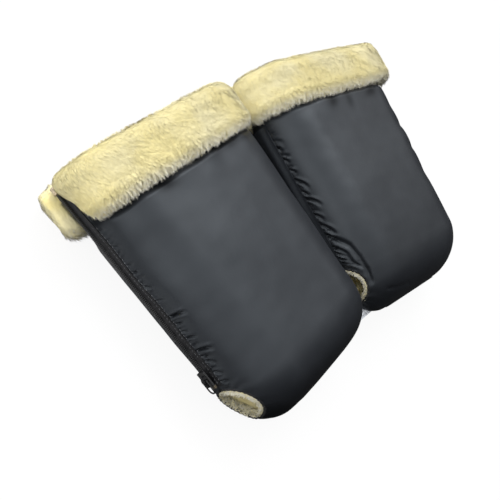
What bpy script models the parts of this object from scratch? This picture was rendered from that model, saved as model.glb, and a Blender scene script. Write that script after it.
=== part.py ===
"""A pair of padded hand mitts for a pram handlebar, lying on their backs.

Each mitt is a back half and a front half. Every half is a nylon shell over wadding and a plush
lining, with the plush turned out as a cuff round the hand opening. A zip closes the outer side, a
hook-and-loop placket closes the inner side, and the front half folds down about the foot.
X runs across the pair, Y from the foot to the hand openings, Z up from the resting back.
Lengths are in metres.
"""

import math

import bmesh
import bpy
from mathutils import Matrix, Vector

# The handlebar that the mitts fit, and the room round it
BAR_DIAMETER = 0.034
BAR_CLEARANCE = 0.004

# Overall shape of one mitt
WIDTH_AT_MOUTH = 0.208
WIDTH_AT_FOOT = 0.186
SHELL_LENGTH = 0.275
INNER_CORNER = 0.034
OUTER_CORNER = 0.050
BACK_DEPTH = 0.040
FRONT_DEPTH = 0.038
FRONT_CROWN = 0.007
SIDE_ROLL = 0.046
FOOT_ROLL = 0.050
SPLAY = math.radians(6.0)

# Plies of the wall, from outside in
SHELL_PLY = 0.0010
WADDING_PLY = 0.0045
LINING_PLY = 0.0066
PLY_GAP = 0.0007
SEAM_GAP = 0.0006

# The turned-out plush cuff
CUFF_REACH = 0.043
CUFF_PILE = 0.0120
CUFF_CREST = 0.0095
CUFF_TUCK = 0.0010
BACK_NECK = CUFF_PILE + PLY_GAP
FRONT_NECK = 0.0040
NECK_RUN = 0.022
CUFF_INNER_SEAM = 0.0006
ZIP_GROOVE = 0.0105

# Slots for the bar and their sewn binding
SLOT_FROM_LINING = 0.0032
BINDING_RADIUS = 0.0013
SLOT_SIDES = 20

# The zip on the outer side
ZIP_FOOT = 0.063
TAPE_WIDTH = 0.0090
TAPE_THICKNESS = 0.0008
TEETH_WIDTH = 0.0021
TEETH_THICKNESS = 0.0017
STOP_LENGTH = 0.0030
BOX_LENGTH = 0.0070
BOX_WIDTH = 0.0036
PIN_WIDTH = 0.0026
BOX_THICKNESS = 0.0022
SLIDER_LENGTH = 0.0150
SLIDER_WIDTH = 0.0100
SLIDER_PLATE = 0.0016
SLIDER_CLEARANCE = 0.0004
BRIDGE_RISE = 0.0034
BRIDGE_SPAN = 0.0080
BRIDGE_RADIUS = 0.0008
PULL_LENGTH = 0.0130
PULL_WIDTH = 0.0068
PULL_RADIUS = 0.0007

# The hook-and-loop placket on the inner side
PLACKET_BELOW_CUFF = 0.0060
PLACKET_PLY = 0.0009
PLACKET_LAP = 0.0140
PLACKET_RISE = 0.0095
STRIP_PLY = 0.0009
STRIP_WIDTH = 0.0110
STRIP_INSET = 0.0015

# The tab that ties the two mitts at their feet
TAB_PLY = 0.0014
TAB_BELOW_SEAM = 0.0040
TAB_GAP = 0.0006
TAB_STEPS = (1, 2)

# Gaps and fineness
GAP = 0.0003
PAIR_CLEARANCE = 0.0004
OVERRUN = 0.010
FOOT_STEPS = 4
ROLL_STEPS = 4
MIDDLE_STEPS = 3
BODY_SHARES = (0.45, 1.0)
NECK_STEPS = 2

# The cuff's cross-section: shares of the pile outward, then shares of the crest beyond the mouth
CUFF_OUTSIDE_SHARES = ((0.62, -0.06), (0.95, 0.05), (1.0, 0.30), (0.98, 0.75), (0.86, 1.0))
CUFF_CREST_SHARES = ((0.80, 0.55), (0.50, 0.88), (0.0, 1.0), (-0.50, 0.93), (-0.85, 0.60))

SLOT_RADIUS = BAR_DIAMETER / 2 + BAR_CLEARANCE
WALL = SHELL_PLY + WADDING_PLY + LINING_PLY + 2 * PLY_GAP
WADDING_INSET = SHELL_PLY + PLY_GAP
LINING_INSET = WADDING_INSET + WADDING_PLY + PLY_GAP
SLOT_Y = WALL + SLOT_FROM_LINING + SLOT_RADIUS
SEAM_Z = BACK_DEPTH + SEAM_GAP / 2
CUFF_Y = SHELL_LENGTH - CUFF_REACH
TAPER = math.atan((WIDTH_AT_MOUTH - WIDTH_AT_FOOT) / 2 / SHELL_LENGTH)

BACK, FRONT = -1, 1
SIDES = {"left": -1, "right": 1}

NYLON = ("black_nylon", (0.035, 0.037, 0.042), 0.45, 0.0)
WADDING = ("white_wadding", (0.80, 0.80, 0.78), 0.95, 0.0)
PLUSH = ("cream_plush", (0.80, 0.68, 0.36), 0.95, 0.0)
TAPE = ("black_tape", (0.015, 0.015, 0.016), 0.75, 0.0)
TEETH = ("black_coil", (0.012, 0.012, 0.013), 0.35, 0.0)
METAL = ("zip_metal", (0.62, 0.58, 0.50), 0.30, 1.0)
BLACK_METAL = ("black_zip_metal", (0.02, 0.02, 0.02), 0.30, 0.8)
GREY_TAB = ("grey_tab", (0.55, 0.57, 0.60), 0.80, 0.0)
HOOK = ("hook_tape", (0.03, 0.03, 0.03), 0.85, 0.0)


def clear_scene():
    for old in list(bpy.data.objects):
        bpy.data.objects.remove(old, do_unlink=True)


def collection(name):
    made = bpy.data.collections.new(name)
    bpy.context.scene.collection.children.link(made)
    return made


def material(finish):
    """A Principled material for one object, from its name, colour, roughness and metallic value."""
    name, colour, roughness, metallic = finish
    made = bpy.data.materials.new(name)
    made.use_nodes = True
    shader = made.node_tree.nodes["Principled BSDF"]
    shader.inputs["Base Color"].default_value = (*colour, 1)
    shader.inputs["Roughness"].default_value = roughness
    shader.inputs["Metallic"].default_value = metallic
    return made


def add_object(name, data, parent, finish):
    made = bpy.data.objects.new(name, data)
    PARTS.objects.link(made)
    made.parent = parent
    data.materials.append(material(finish))
    return made


def add_empty(name, parent, location=(0, 0, 0), turn=0.0):
    made = bpy.data.objects.new(name, None)
    PARTS.objects.link(made)
    made.parent = parent
    made.location = location
    made.rotation_euler.z = turn
    return made


def mesh_from(name, bm, smooth=True):
    bmesh.ops.recalc_face_normals(bm, faces=bm.faces)
    made = bpy.data.meshes.new(name)
    bm.to_mesh(made)
    bm.free()
    if smooth:
        made.shade_smooth()
        made.set_sharp_from_angle(angle=math.radians(50))
    return made


def add_cutter(name, mesh, parent):
    made = bpy.data.objects.new(name, mesh)
    CUTTERS.objects.link(made)
    made.parent = parent
    made.hide_render = True
    made.display_type = "WIRE"
    return made


def cut(target, tool, operation="DIFFERENCE"):
    step = target.modifiers.new(operation.lower(), "BOOLEAN")
    step.operation = operation
    step.solver = "EXACT"
    step.object = tool


def half_width(y):
    return WIDTH_AT_FOOT / 2 + (WIDTH_AT_MOUTH - WIDTH_AT_FOOT) / 2 * y / SHELL_LENGTH


def corner_cut(radius, above_foot):
    """How far a rounded foot corner draws the outline in, at a height above the foot."""
    if above_foot >= radius:
        return 0.0
    return radius - math.sqrt(radius**2 - (radius - above_foot) ** 2)


def side_lines(y, inset):
    """The inner and outer edge of the outline in plan, drawn in by inset."""
    above = max(y - inset, 0.0)
    edge = half_width(y) - inset
    return (-edge + corner_cut(INNER_CORNER - inset, above),
            edge - corner_cut(OUTER_CORNER - inset, above))


def neck_share(y):
    """From 0 on the body of the mitt to 1 under the cuff."""
    along = min(max((y - (CUFF_Y - NECK_RUN)) / NECK_RUN, 0.0), 1.0)
    return along * along * (3 - 2 * along)


def depth(half, y):
    """Height of a half's panel from the seam, which the cuff draws in."""
    if half == BACK:
        return BACK_DEPTH - BACK_NECK * neck_share(y)
    return FRONT_DEPTH - FRONT_NECK * neck_share(y)


def foot_rise(y, inset):
    """Share of the depth that the panel has reached at y, as it rolls up from the foot."""
    along = min(max((y - inset) / (FOOT_ROLL - inset), 0.0), 1.0)
    return math.sqrt(max(1 - (1 - along) ** 2, 0.0))


def across(half, y, inset, inner_end=0.0, outer_end=0.0):
    """Points (x, height from the seam) of one cross-section, from the inner to the outer side."""
    inner, outer = side_lines(y, inset)
    width = outer - inner
    rise = foot_rise(y, inset)
    high = (depth(half, y) - inset) * rise
    roll = min(SIDE_ROLL - inset, width / 2)
    crown = FRONT_CROWN * rise * (1 - neck_share(y) / 2) if half == FRONT else 0.0
    quarter = math.pi / 2
    first, last = (math.asin(end / high) if end else 0.0 for end in (inner_end, outer_end))
    turns = [(first + (quarter - first) * i / ROLL_STEPS, False) for i in range(ROLL_STEPS + 1)]
    turns_out = [(last + (quarter - last) * i / ROLL_STEPS, True) for i in range(ROLL_STEPS + 1)]
    points = [(inner + roll * (1 - math.cos(t)), math.sin(t)) for t, _ in turns]
    left, right = inner + roll, outer - roll
    for i in range(1, MIDDLE_STEPS):
        points.append((left + (right - left) * i / MIDDLE_STEPS, 1.0))
    points += [(outer - roll * (1 - math.cos(t)), math.sin(t)) for t, _ in reversed(turns_out)]
    made = []
    for x, up in points:
        share = (x - inner) / width
        made.append((x, high * up + crown * 4 * share * (1 - share)))
    return made


def row_places(inset):
    """Places along the mitt of the cross-sections of one surface."""
    quarter = math.pi / 2
    foot = [inset + (FOOT_ROLL - inset) * (1 - math.cos(quarter * i / FOOT_STEPS))
            for i in range(FOOT_STEPS + 1)]
    neck_start = CUFF_Y - NECK_RUN
    body = [FOOT_ROLL + (neck_start - FOOT_ROLL) * share for share in BODY_SHARES]
    neck = [neck_start + NECK_RUN * (i + 1) / NECK_STEPS for i in range(NECK_STEPS)]
    return foot + body + neck + [SHELL_LENGTH]


def seam_height(half, height):
    return SEAM_Z + half * (SEAM_GAP / 2 + height)


def half_layer(name, side, half, inset, thickness, parent, finish):
    """One ply of a half: the space between the same surface at two insets, open at the mouth."""
    bm = bmesh.new()
    surfaces = []
    for layer in (inset, inset + thickness):
        rows = []
        for y in row_places(layer):
            row = across(half, y, layer)
            rows.append([bm.verts.new((side * x, y, seam_height(half, up))) for x, up in row])
        surfaces.append(rows)
    count, width = len(surfaces[0]), len(surfaces[0][0])
    for rows in surfaces:
        for j in range(count - 1):
            for i in range(width - 1):
                a, b = rows[j][i:i + 2]
                d, c = rows[j + 1][i:i + 2]
                faces = ((a, b, d), (b, c, d)) if i < width // 2 else ((a, b, c), (a, c, d))
                for face in faces:
                    bm.faces.new(face)
    border = [(0, i) for i in range(width)] + [(j, width - 1) for j in range(1, count)]
    border += [(count - 1, i) for i in range(width - 2, -1, -1)]
    border += [(j, 0) for j in range(count - 2, 0, -1)]
    for a, b in zip(border, border[1:] + border[:1]):
        bm.faces.new([surfaces[0][a[0]][a[1]], surfaces[0][b[0]][b[1]],
                      surfaces[1][b[0]][b[1]], surfaces[1][a[0]][a[1]]])
    return add_object(name, mesh_from(name, bm), parent, finish)


def cuff_section():
    """Pairs of (inset, y) round the cuff's cross-section. A negative inset is outside the shell."""
    seat = -PLY_GAP
    section = [(seat, SHELL_LENGTH + PLY_GAP), (seat, CUFF_Y)]
    for out, along in CUFF_OUTSIDE_SHARES:
        section.append((seat - CUFF_PILE * out, CUFF_Y + CUFF_REACH * along))
    for out, along in CUFF_CREST_SHARES:
        spread = CUFF_PILE if out > 0 else WALL
        section.append((seat - spread * out, SHELL_LENGTH + CUFF_CREST * along))
    section.append((WALL - CUFF_TUCK, SHELL_LENGTH + PLY_GAP))
    return section


def add_cuff(name, side, half, parent):
    """The turned-out plush: a padded band round the mouth of one half."""
    bm = bmesh.new()
    rings = []
    for inset, y in cuff_section():
        row = across(half, y, inset, CUFF_INNER_SEAM, ZIP_GROOVE)
        rings.append([bm.verts.new((side * x, y, seam_height(half, up))) for x, up in row])
    for ring, after in zip(rings, rings[1:] + rings[:1]):
        for i in range(len(ring) - 1):
            bm.faces.new((ring[i], ring[i + 1], after[i + 1], after[i]))
    bm.faces.new([ring[0] for ring in rings])
    bm.faces.new([ring[-1] for ring in rings])
    bmesh.ops.triangulate(bm, faces=[f for f in bm.faces if len(f.verts) > 4])
    return add_object(name, mesh_from(name, bm), parent, PLUSH)


def tube(name, points, radius, parent, finish, cyclic=False, resolution=2):
    """A round cord along points, as a curve with a bevel and filled caps."""
    curve = bpy.data.curves.new(name, "CURVE")
    curve.dimensions = "3D"
    curve.bevel_depth = radius
    curve.bevel_resolution = resolution
    curve.use_fill_caps = True
    spline = curve.splines.new("POLY")
    spline.points.add(len(points) - 1)
    for point, place in zip(spline.points, points):
        point.co = (*place, 1)
    spline.use_cyclic_u = cyclic
    return add_object(name, curve, parent, finish)


def box_mesh(name, low, high, side=1):
    """A box between two corners, mirrored across X for the left mitt."""
    bm = bmesh.new()
    bmesh.ops.create_cube(bm, size=1)
    size = [b - a for a, b in zip(low, high)]
    middle = [(a + b) / 2 for a, b in zip(low, high)]
    bmesh.ops.scale(bm, vec=size, verts=bm.verts)
    bmesh.ops.translate(bm, vec=(side * middle[0], middle[1], middle[2]), verts=bm.verts)
    return mesh_from(name, bm, smooth=False)


def add_box(name, side, low, high, parent, finish, round_over=0.0):
    made = add_object(name, box_mesh(name, low, high, side), parent, finish)
    if round_over:
        bevel = made.modifiers.new("round_over", "BEVEL")
        bevel.width = round_over
        bevel.segments = 1
    return made


def profile_mesh(name, outline, y_start, y_end, side=1):
    """An outline in X and Z, extruded along Y."""
    bm = bmesh.new()
    rings = [[bm.verts.new((side * x, y, z)) for x, z in outline] for y in (y_start, y_end)]
    for a, b in zip(range(len(outline)), list(range(1, len(outline))) + [0]):
        bm.faces.new((rings[0][a], rings[0][b], rings[1][b], rings[1][a]))
    for ring in rings:
        bm.faces.new(ring)
    bmesh.ops.triangulate(bm, faces=[f for f in bm.faces if len(f.verts) > 4])
    return mesh_from(name, bm, smooth=False)


def slot_cutter(mitt, side):
    """The round bar passage that opens both side walls, across the whole mitt."""
    bm = bmesh.new()
    reach = WIDTH_AT_MOUTH + 2 * OVERRUN
    turn = Matrix.Rotation(math.pi / 2, 4, "Y")
    bmesh.ops.create_cone(bm, cap_ends=True, segments=SLOT_SIDES, radius1=SLOT_RADIUS,
                          radius2=SLOT_RADIUS, depth=reach, matrix=turn)
    bmesh.ops.translate(bm, vec=(0, SLOT_Y, SEAM_Z), verts=bm.verts)
    name = "left_bar_passage" if side < 0 else "right_bar_passage"
    return add_cutter(name, mesh_from(name, bm, smooth=False), mitt)


def add_half(word, side, half, parent, passage):
    """Shell, wadding, lining and cuff of one half."""
    prefix = word + ("_back" if half == BACK else "_front")
    plies = (("shell", 0.0, SHELL_PLY, NYLON), ("wadding", WADDING_INSET, WADDING_PLY, WADDING),
             ("lining", LINING_INSET, LINING_PLY, PLUSH))
    for layer, inset, thickness, finish in plies:
        made = half_layer(f"{prefix}_{layer}", side, half, inset, thickness, parent, finish)
        cut(made, passage)
    add_cuff(prefix + "_cuff", side, half, parent)


def binding_points(half, side, edge):
    """The arch round a bar slot, a little inside the cut edge. Edge is -1 inner or 1 outer."""
    reach = SLOT_RADIUS * math.cos(math.pi / SLOT_SIDES) - BINDING_RADIUS - GAP
    start = math.asin((SEAM_GAP / 2 + GAP) / reach) + BINDING_RADIUS / reach / 2
    points = []
    steps = SLOT_SIDES // 2
    for i in range(steps + 1):
        angle = start + (math.pi - 2 * start) * i / steps
        y = SLOT_Y + reach * math.cos(angle)
        up = reach * math.sin(angle)
        inner, outer = side_lines(y, 2 * BINDING_RADIUS)
        high = (depth(half, y) - 2 * BINDING_RADIUS) * foot_rise(y, 2 * BINDING_RADIUS)
        back = SIDE_ROLL * (1 - math.sqrt(max(1 - (up / high) ** 2, 0.0)))
        x = inner + back if edge < 0 else outer - back
        points.append((side * x, y, SEAM_Z + half * up))
    return points


def add_bindings(word, side, half, parent):
    half_word = "back" if half == BACK else "front"
    for edge_word, edge in (("inner", -1), ("outer", 1)):
        tube(f"{word}_{half_word}_{edge_word}_slot_binding", binding_points(half, side, edge),
             BINDING_RADIUS, parent, TAPE)


def zip_frame(name, side, parent):
    """An empty on the outer seam: its Y runs up the side, its X points outward."""
    return add_empty(name, parent, (side * WIDTH_AT_FOOT / 2, 0, SEAM_Z), -side * TAPER)


def zip_levels():
    """Distances outward from the seam line of the zip's layers."""
    tape_out = GAP + TAPE_THICKNESS
    teeth_in = tape_out + GAP
    return tape_out, teeth_in, teeth_in + TEETH_THICKNESS


def add_zip_half(word, side, half, frame):
    """Tape, row of teeth, end stop, and the box or pin at the mouth, for one half."""
    half_word = "back" if half == BACK else "front"
    length = SHELL_LENGTH / math.cos(TAPER)
    tape_out, teeth_in, teeth_out = zip_levels()

    def between(start, width):
        ends = sorted((half * start, half * (start + width)))
        return ends[0], ends[1]

    z0, z1 = between(GAP, TAPE_WIDTH)
    add_box(f"{word}_zip_tape_{half_word}", side, (GAP, ZIP_FOOT, z0), (tape_out, length, z1),
            frame, TAPE)
    z0, z1 = between(GAP / 2, TEETH_WIDTH)
    teeth_start = ZIP_FOOT + STOP_LENGTH + GAP
    teeth_end = length - BOX_LENGTH - GAP
    add_box(f"{word}_zip_teeth_{half_word}", side, (teeth_in, teeth_start, z0),
            (teeth_out, teeth_end, z1), frame, TEETH)
    add_box(f"{word}_zip_stop_{half_word}", side, (teeth_in, ZIP_FOOT, z0),
            (teeth_out, ZIP_FOOT + STOP_LENGTH, z1), frame, METAL)
    width = BOX_WIDTH if half == BACK else PIN_WIDTH
    z0, z1 = between(GAP / 2, width)
    add_box(f"{word}_zip_{'box' if half == BACK else 'pin'}", side,
            (teeth_in, length - BOX_LENGTH, z0), (teeth_in + BOX_THICKNESS, length, z1),
            frame, METAL, BOX_THICKNESS / 5)


def add_slider(word, side, frame):
    """The slider on the outside of the teeth, hooked round the back row, with its bridge."""
    _, teeth_in, teeth_out = zip_levels()
    under = teeth_out + SLIDER_CLEARANCE
    top = under + SLIDER_PLATE
    lip = -(TEETH_WIDTH + GAP / 2 + SLIDER_CLEARANCE)
    low, high = -SLIDER_WIDTH / 2, SLIDER_WIDTH / 2
    foot = teeth_in + GAP / 2
    outline = [(foot, low), (top, low), (top, high), (under, high), (under, lip), (foot, lip)]
    name = f"{word}_zip_slider"
    mesh = profile_mesh(name, outline, -SLIDER_LENGTH / 2, SLIDER_LENGTH / 2, side)
    body = add_object(name, mesh, frame, BLACK_METAL)
    steps = 8
    arch = []
    for i in range(steps + 1):
        angle = math.pi * i / steps
        rise = BRIDGE_RISE * math.sin(angle) - SLIDER_PLATE / 2 * (i in (0, steps))
        arch.append((side * (top + rise), BRIDGE_SPAN / 2 * math.cos(angle), 0))
    bridge = tube(f"{name}_bridge", arch, BRIDGE_RADIUS, frame, BLACK_METAL, resolution=1)
    bpy.context.view_layer.update()
    cast = bpy.data.meshes.new_from_object(bridge.evaluated_get(
        bpy.context.evaluated_depsgraph_get()))
    bpy.data.objects.remove(bridge, do_unlink=True)
    bm = bmesh.new()
    bm.from_mesh(cast)
    bmesh.ops.remove_doubles(bm, verts=bm.verts, dist=GAP / 10)
    tool = add_cutter(f"{word}_slider_bridge", mesh_from(f"{word}_slider_bridge", bm), frame)
    cut(body, tool, "UNION")
    return top


def add_pull(word, side, frame, top):
    """A slim loop through the slider's bridge, hanging towards the foot."""
    axle = top + (BRIDGE_RISE - BRIDGE_RADIUS) / 2
    hinge = add_empty(f"{word}_zip_pull_hinge", frame, (side * axle, 0, 0))
    half_loop = PULL_WIDTH / 2
    points = [(0, 0, -half_loop), (0, 0, half_loop)]
    steps = 8
    for i in range(steps + 1):
        angle = math.pi * i / steps
        points.append((0, -PULL_LENGTH + half_loop - half_loop * math.sin(angle),
                       half_loop * math.cos(angle)))
    tube(f"{word}_zip_pull", points, PULL_RADIUS, hinge, BLACK_METAL, cyclic=True)
    return hinge


def placket_frame(name, side, parent):
    """An empty on the inner seam: its Y runs up the side, its X points inward, to the other mitt."""
    return add_empty(name, parent, (-side * WIDTH_AT_FOOT / 2, 0, SEAM_Z), side * TAPER)


def placket_levels():
    """Distances from the inner seam line of the loop strip, the hook strip and the placket."""
    loop_out = GAP + STRIP_PLY
    hook_in = loop_out + GAP
    hook_out = hook_in + STRIP_PLY
    return loop_out, hook_in, hook_out, hook_out + GAP


def placket_ends():
    return ZIP_FOOT, (CUFF_Y - PLACKET_BELOW_CUFF) / math.cos(TAPER)


def add_loop_strip(word, side, frame):
    loop_out = placket_levels()[0]
    start, end = placket_ends()
    top = -STRIP_INSET
    add_box(f"{word}_loop_strip", -side, (GAP, start + STRIP_INSET, top - STRIP_WIDTH),
            (loop_out, end - STRIP_INSET, top), frame, HOOK)


def add_placket(word, side, frame):
    """The flap that hangs from the front half over the back half, with its hook strip."""
    _, hook_in, hook_out, flap_in = placket_levels()
    flap_out = flap_in + PLACKET_PLY
    start, end = placket_ends()
    outline = [(GAP, GAP), (flap_in, GAP), (flap_in, -PLACKET_LAP), (flap_out, -PLACKET_LAP),
               (flap_out, PLACKET_RISE), (GAP, PLACKET_RISE)]
    name = f"{word}_placket"
    add_object(name, profile_mesh(name, outline, start, end, -side), frame, NYLON)
    top = -STRIP_INSET
    add_box(f"{word}_hook_strip", -side, (hook_in, start + STRIP_INSET, top - STRIP_WIDTH),
            (hook_out, end - STRIP_INSET, top), frame, HOOK)


def pair_offset():
    """How far each mitt stands from the middle plane, so that cuffs, plackets and feet stay clear."""
    flap_out = placket_levels()[3] + PLACKET_PLY
    start, end = placket_ends()
    proud = PLY_GAP + CUFF_PILE
    candidates = [(half_width(CUFF_Y) + proud, CUFF_Y + CUFF_REACH * CUFF_OUTSIDE_SHARES[0][1]),
                  (half_width(SHELL_LENGTH) + proud, SHELL_LENGTH),
                  (half_width(start) + flap_out, start), (half_width(end) + flap_out, end),
                  (half_width(INNER_CORNER), INNER_CORNER)]
    return PAIR_CLEARANCE + max(x * math.cos(SPLAY) - y * math.sin(SPLAY) for x, y in candidates)


def fold_base(side):
    """The foot of the fold in the mitt's own frame: the lowest point of the shell's foot line."""
    inner, outer = side_lines(0.0, 0.0)
    lowest = min(x * -math.sin(SPLAY) for x in (inner, outer))
    reach = lowest - OUTER_CORNER * (1 - math.cos(SPLAY))
    return Vector((side * reach * -math.sin(SPLAY), reach * math.cos(SPLAY), SEAM_Z))


def add_mitt(word, side, root):
    """One mitt, with its front half, slider and pull each on an empty of its own."""
    mitt = add_empty(f"{word}_mitt", root, (side * pair_offset(), 0, 0), -side * SPLAY)
    passage = slot_cutter(mitt, side)
    add_half(word, side, BACK, mitt, passage)
    add_bindings(word, side, BACK, mitt)
    back_zip = zip_frame(f"{word}_back_zip", side, mitt)
    add_zip_half(word, side, BACK, back_zip)
    add_loop_strip(word, side, placket_frame(f"{word}_back_placket", side, mitt))

    hinge = add_empty(f"{word}_front_fold", mitt, fold_base(side))
    front = add_empty(f"{word}_front", hinge, -fold_base(side))
    add_half(word, side, FRONT, front, passage)
    add_bindings(word, side, FRONT, front)
    add_zip_half(word, side, FRONT, zip_frame(f"{word}_front_zip", side, front))
    add_placket(word, side, placket_frame(f"{word}_front_placket", side, front))

    slider_at = ZIP_FOOT + STOP_LENGTH + GAP + SLIDER_LENGTH / 2
    slider = add_empty(f"{word}_slider", back_zip, (0, slider_at, 0))
    top = add_slider(word, side, slider)
    pull = add_pull(word, side, slider, top)
    return {"fold": hinge, "slider": slider, "pull": pull, "mitt": mitt}


def add_joining_tab(root):
    """A short grey tab between the two feet, its ends cut to follow both back shells."""
    ends = []
    for y in [row_places(0.0)[row] for row in TAB_STEPS]:
        (edge, _), (next_x, next_up) = across(BACK, y, 0.0)[:2]
        x = edge + (next_x - edge) * TAB_BELOW_SEAM / next_up - TAB_GAP
        ends.append((pair_offset() + x * math.cos(SPLAY) + y * math.sin(SPLAY),
                     y * math.cos(SPLAY) - x * math.sin(SPLAY)))
    outline = ends + [(-x, y) for x, y in reversed(ends)]
    top = SEAM_Z - TAB_BELOW_SEAM
    bm = bmesh.new()
    rings = [[bm.verts.new((x, y, z)) for x, y in outline] for z in (top - TAB_PLY, top)]
    for i in range(len(outline)):
        j = (i + 1) % len(outline)
        bm.faces.new((rings[0][i], rings[0][j], rings[1][j], rings[1][i]))
    for ring in rings:
        bm.faces.new(ring)
    add_object("joining_tab", mesh_from("joining_tab", bm, smooth=False), root, GREY_TAB)


def bounds_of(objects):
    """Lowest and highest corner of the evaluated objects, in world space."""
    graph = bpy.context.evaluated_depsgraph_get()
    low, high = Vector((math.inf,) * 3), Vector((-math.inf,) * 3)
    for made in objects:
        seen = made.evaluated_get(graph)
        mesh = seen.to_mesh()
        for vert in mesh.vertices:
            place = seen.matrix_world @ vert.co
            low = Vector(map(min, low, place))
            high = Vector(map(max, high, place))
        seen.to_mesh_clear()
    return low, high


def seat_on_origin(root):
    """Puts the origin under the middle of the whole pair, on the surface it lies on."""
    bpy.context.view_layer.update()
    low, high = bounds_of([o for o in PARTS.objects if o.type in ("MESH", "CURVE")])
    root.location = (-(low.x + high.x) / 2, -(low.y + high.y) / 2, -low.z)
    bpy.context.view_layer.update()


clear_scene()
PARTS = collection("stroller_hand_muff")
CUTTERS = collection("cutters")
ROOT = add_empty("muff_pair", None)
MITTS = {word: add_mitt(word, side, ROOT) for word, side in SIDES.items()}
add_joining_tab(ROOT)
seat_on_origin(ROOT)
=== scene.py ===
"""The looks of a pair of padded handlebar mitts: nylon, plush, zips and stitching over the CAD frame.

The surfaces follow the same sections as the solids, so every piece lies where its solid is.
A point on a mitt is (x outward, y from the foot, height from the seam), in metres. s_in and s_out are
distances over a surface, from its inner edge and from its outer edge, where the zip is.
"""

import math

import bmesh
import bpy
import numpy as np
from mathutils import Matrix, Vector

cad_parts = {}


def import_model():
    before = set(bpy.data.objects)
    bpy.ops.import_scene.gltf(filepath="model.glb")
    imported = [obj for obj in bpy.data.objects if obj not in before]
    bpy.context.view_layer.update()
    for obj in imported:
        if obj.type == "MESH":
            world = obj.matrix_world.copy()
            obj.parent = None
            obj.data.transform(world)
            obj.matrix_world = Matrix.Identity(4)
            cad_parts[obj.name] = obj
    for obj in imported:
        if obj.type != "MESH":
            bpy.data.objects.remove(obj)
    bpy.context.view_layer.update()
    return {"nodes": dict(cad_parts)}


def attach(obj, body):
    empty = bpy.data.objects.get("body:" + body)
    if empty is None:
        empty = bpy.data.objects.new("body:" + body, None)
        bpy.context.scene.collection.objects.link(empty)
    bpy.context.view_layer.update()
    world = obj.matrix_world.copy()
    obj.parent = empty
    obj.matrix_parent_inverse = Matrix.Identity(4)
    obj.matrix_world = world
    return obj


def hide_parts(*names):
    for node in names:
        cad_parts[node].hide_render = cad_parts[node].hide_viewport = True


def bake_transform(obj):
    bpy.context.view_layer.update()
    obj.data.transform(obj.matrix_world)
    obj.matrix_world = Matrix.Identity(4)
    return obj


MM = 0.001
BACK, FRONT = -1, 1
INNER, OUTER = -1, 1
SIDES = {"left": -1, "right": 1}
HALVES = {BACK: "back", FRONT: "front"}
ACROSS, ALONG, UP = np.eye(3)

# The mitt's shape
WIDTH_AT_MOUTH, WIDTH_AT_FOOT, SHELL_LENGTH = 0.208, 0.186, 0.275
INNER_CORNER, OUTER_CORNER = 0.034, 0.050
SIDE_ROLL, FOOT_ROLL = 0.046, 0.050
DEPTH = {BACK: 0.040, FRONT: 0.038}
CROWN = {BACK: 0.0, FRONT: 0.007}
NECK = {BACK: 0.0127, FRONT: 0.004}
NECK_RUN = {BACK: 0.022, FRONT: 0.010}
CUFF_REACH = 0.043
CUFF_Y = SHELL_LENGTH - CUFF_REACH
SEAM_GAP = 0.0006
SEAM_Z = DEPTH[BACK] + SEAM_GAP / 2
WALL = 0.0135
SHELL_THICK, LINING_INSET = 0.0062, 0.0069
SLOT_RADIUS, SLOT_Y = 0.0208, 0.0377
TAPER = math.atan((WIDTH_AT_MOUTH - WIDTH_AT_FOOT) / 2 / SHELL_LENGTH)

# Where each mitt stands
PAIR_X, PAIR_Y, SPLAY = 0.09239, -0.14471, math.radians(6)

# The zip and the placket
ZIP_FOOT, TAPE_WIDTH, BOX_LENGTH, STOP_LENGTH = 0.063, 0.007, 0.007, 0.003
TEETH_IN, TEETH_OUT, TEETH_WIDTH, TOOTH_PITCH = 0.0014, 0.0031, 0.0021, 0.0016
PLACKET_END, PLACKET_RISE, PLACKET_LAP = (CUFF_Y - 0.006) / math.cos(TAPER), 0.0095, 0.014

# The closest that two rows of a surface lie, the least height of a section, and the least length
ROW_GAP, LEAST_HEIGHT, LEAST_LENGTH = 0.0004, 1e-6, 1e-12


# Curves and sections

def smooth(value, low, high):
    """0 below low, 1 above high, and a soft step between."""
    share = np.clip((value - low) / (high - low), 0, 1)
    return share * share * (3 - 2 * share)


def falling(value, low, high):
    return 1 - smooth(value, low, high)


def bell(t):
    """1 at 0, and close to nothing from 2 on, either way."""
    return np.exp(-t * t)


def quarter_round(share):
    """Height of a quarter circle, 0 to 1, at a share of its run."""
    return np.sqrt(np.maximum(1 - (1 - np.clip(share, 0, 1)) ** 2, 0))


def unit(vectors):
    return vectors / np.maximum(np.linalg.norm(vectors, axis=-1, keepdims=True), LEAST_LENGTH)


def broadcast(*values):
    return np.broadcast_arrays(*(np.asarray(v, float) for v in values))


def corner_cut(radius, above):
    short = np.clip(radius - above, 0, radius)
    return radius - np.sqrt(radius**2 - short**2)


def side_lines(y, inset):
    above = np.maximum(y - inset, 0)
    edge = WIDTH_AT_FOOT / 2 + (WIDTH_AT_MOUTH - WIDTH_AT_FOOT) / 2 * y / SHELL_LENGTH - inset
    return (-edge + corner_cut(INNER_CORNER - inset, above),
            edge - corner_cut(OUTER_CORNER - inset, above))


def neck_share(half, y):
    return smooth(y, CUFF_Y - NECK_RUN[half], CUFF_Y)


def foot_rise(y, inset):
    return quarter_round((y - inset) / (FOOT_ROLL - inset))


def wall_height(half, y, inset):
    deep = DEPTH[half] - NECK[half] * neck_share(half, y)
    return np.maximum((deep - inset) * foot_rise(y, inset), LEAST_HEIGHT)


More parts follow.
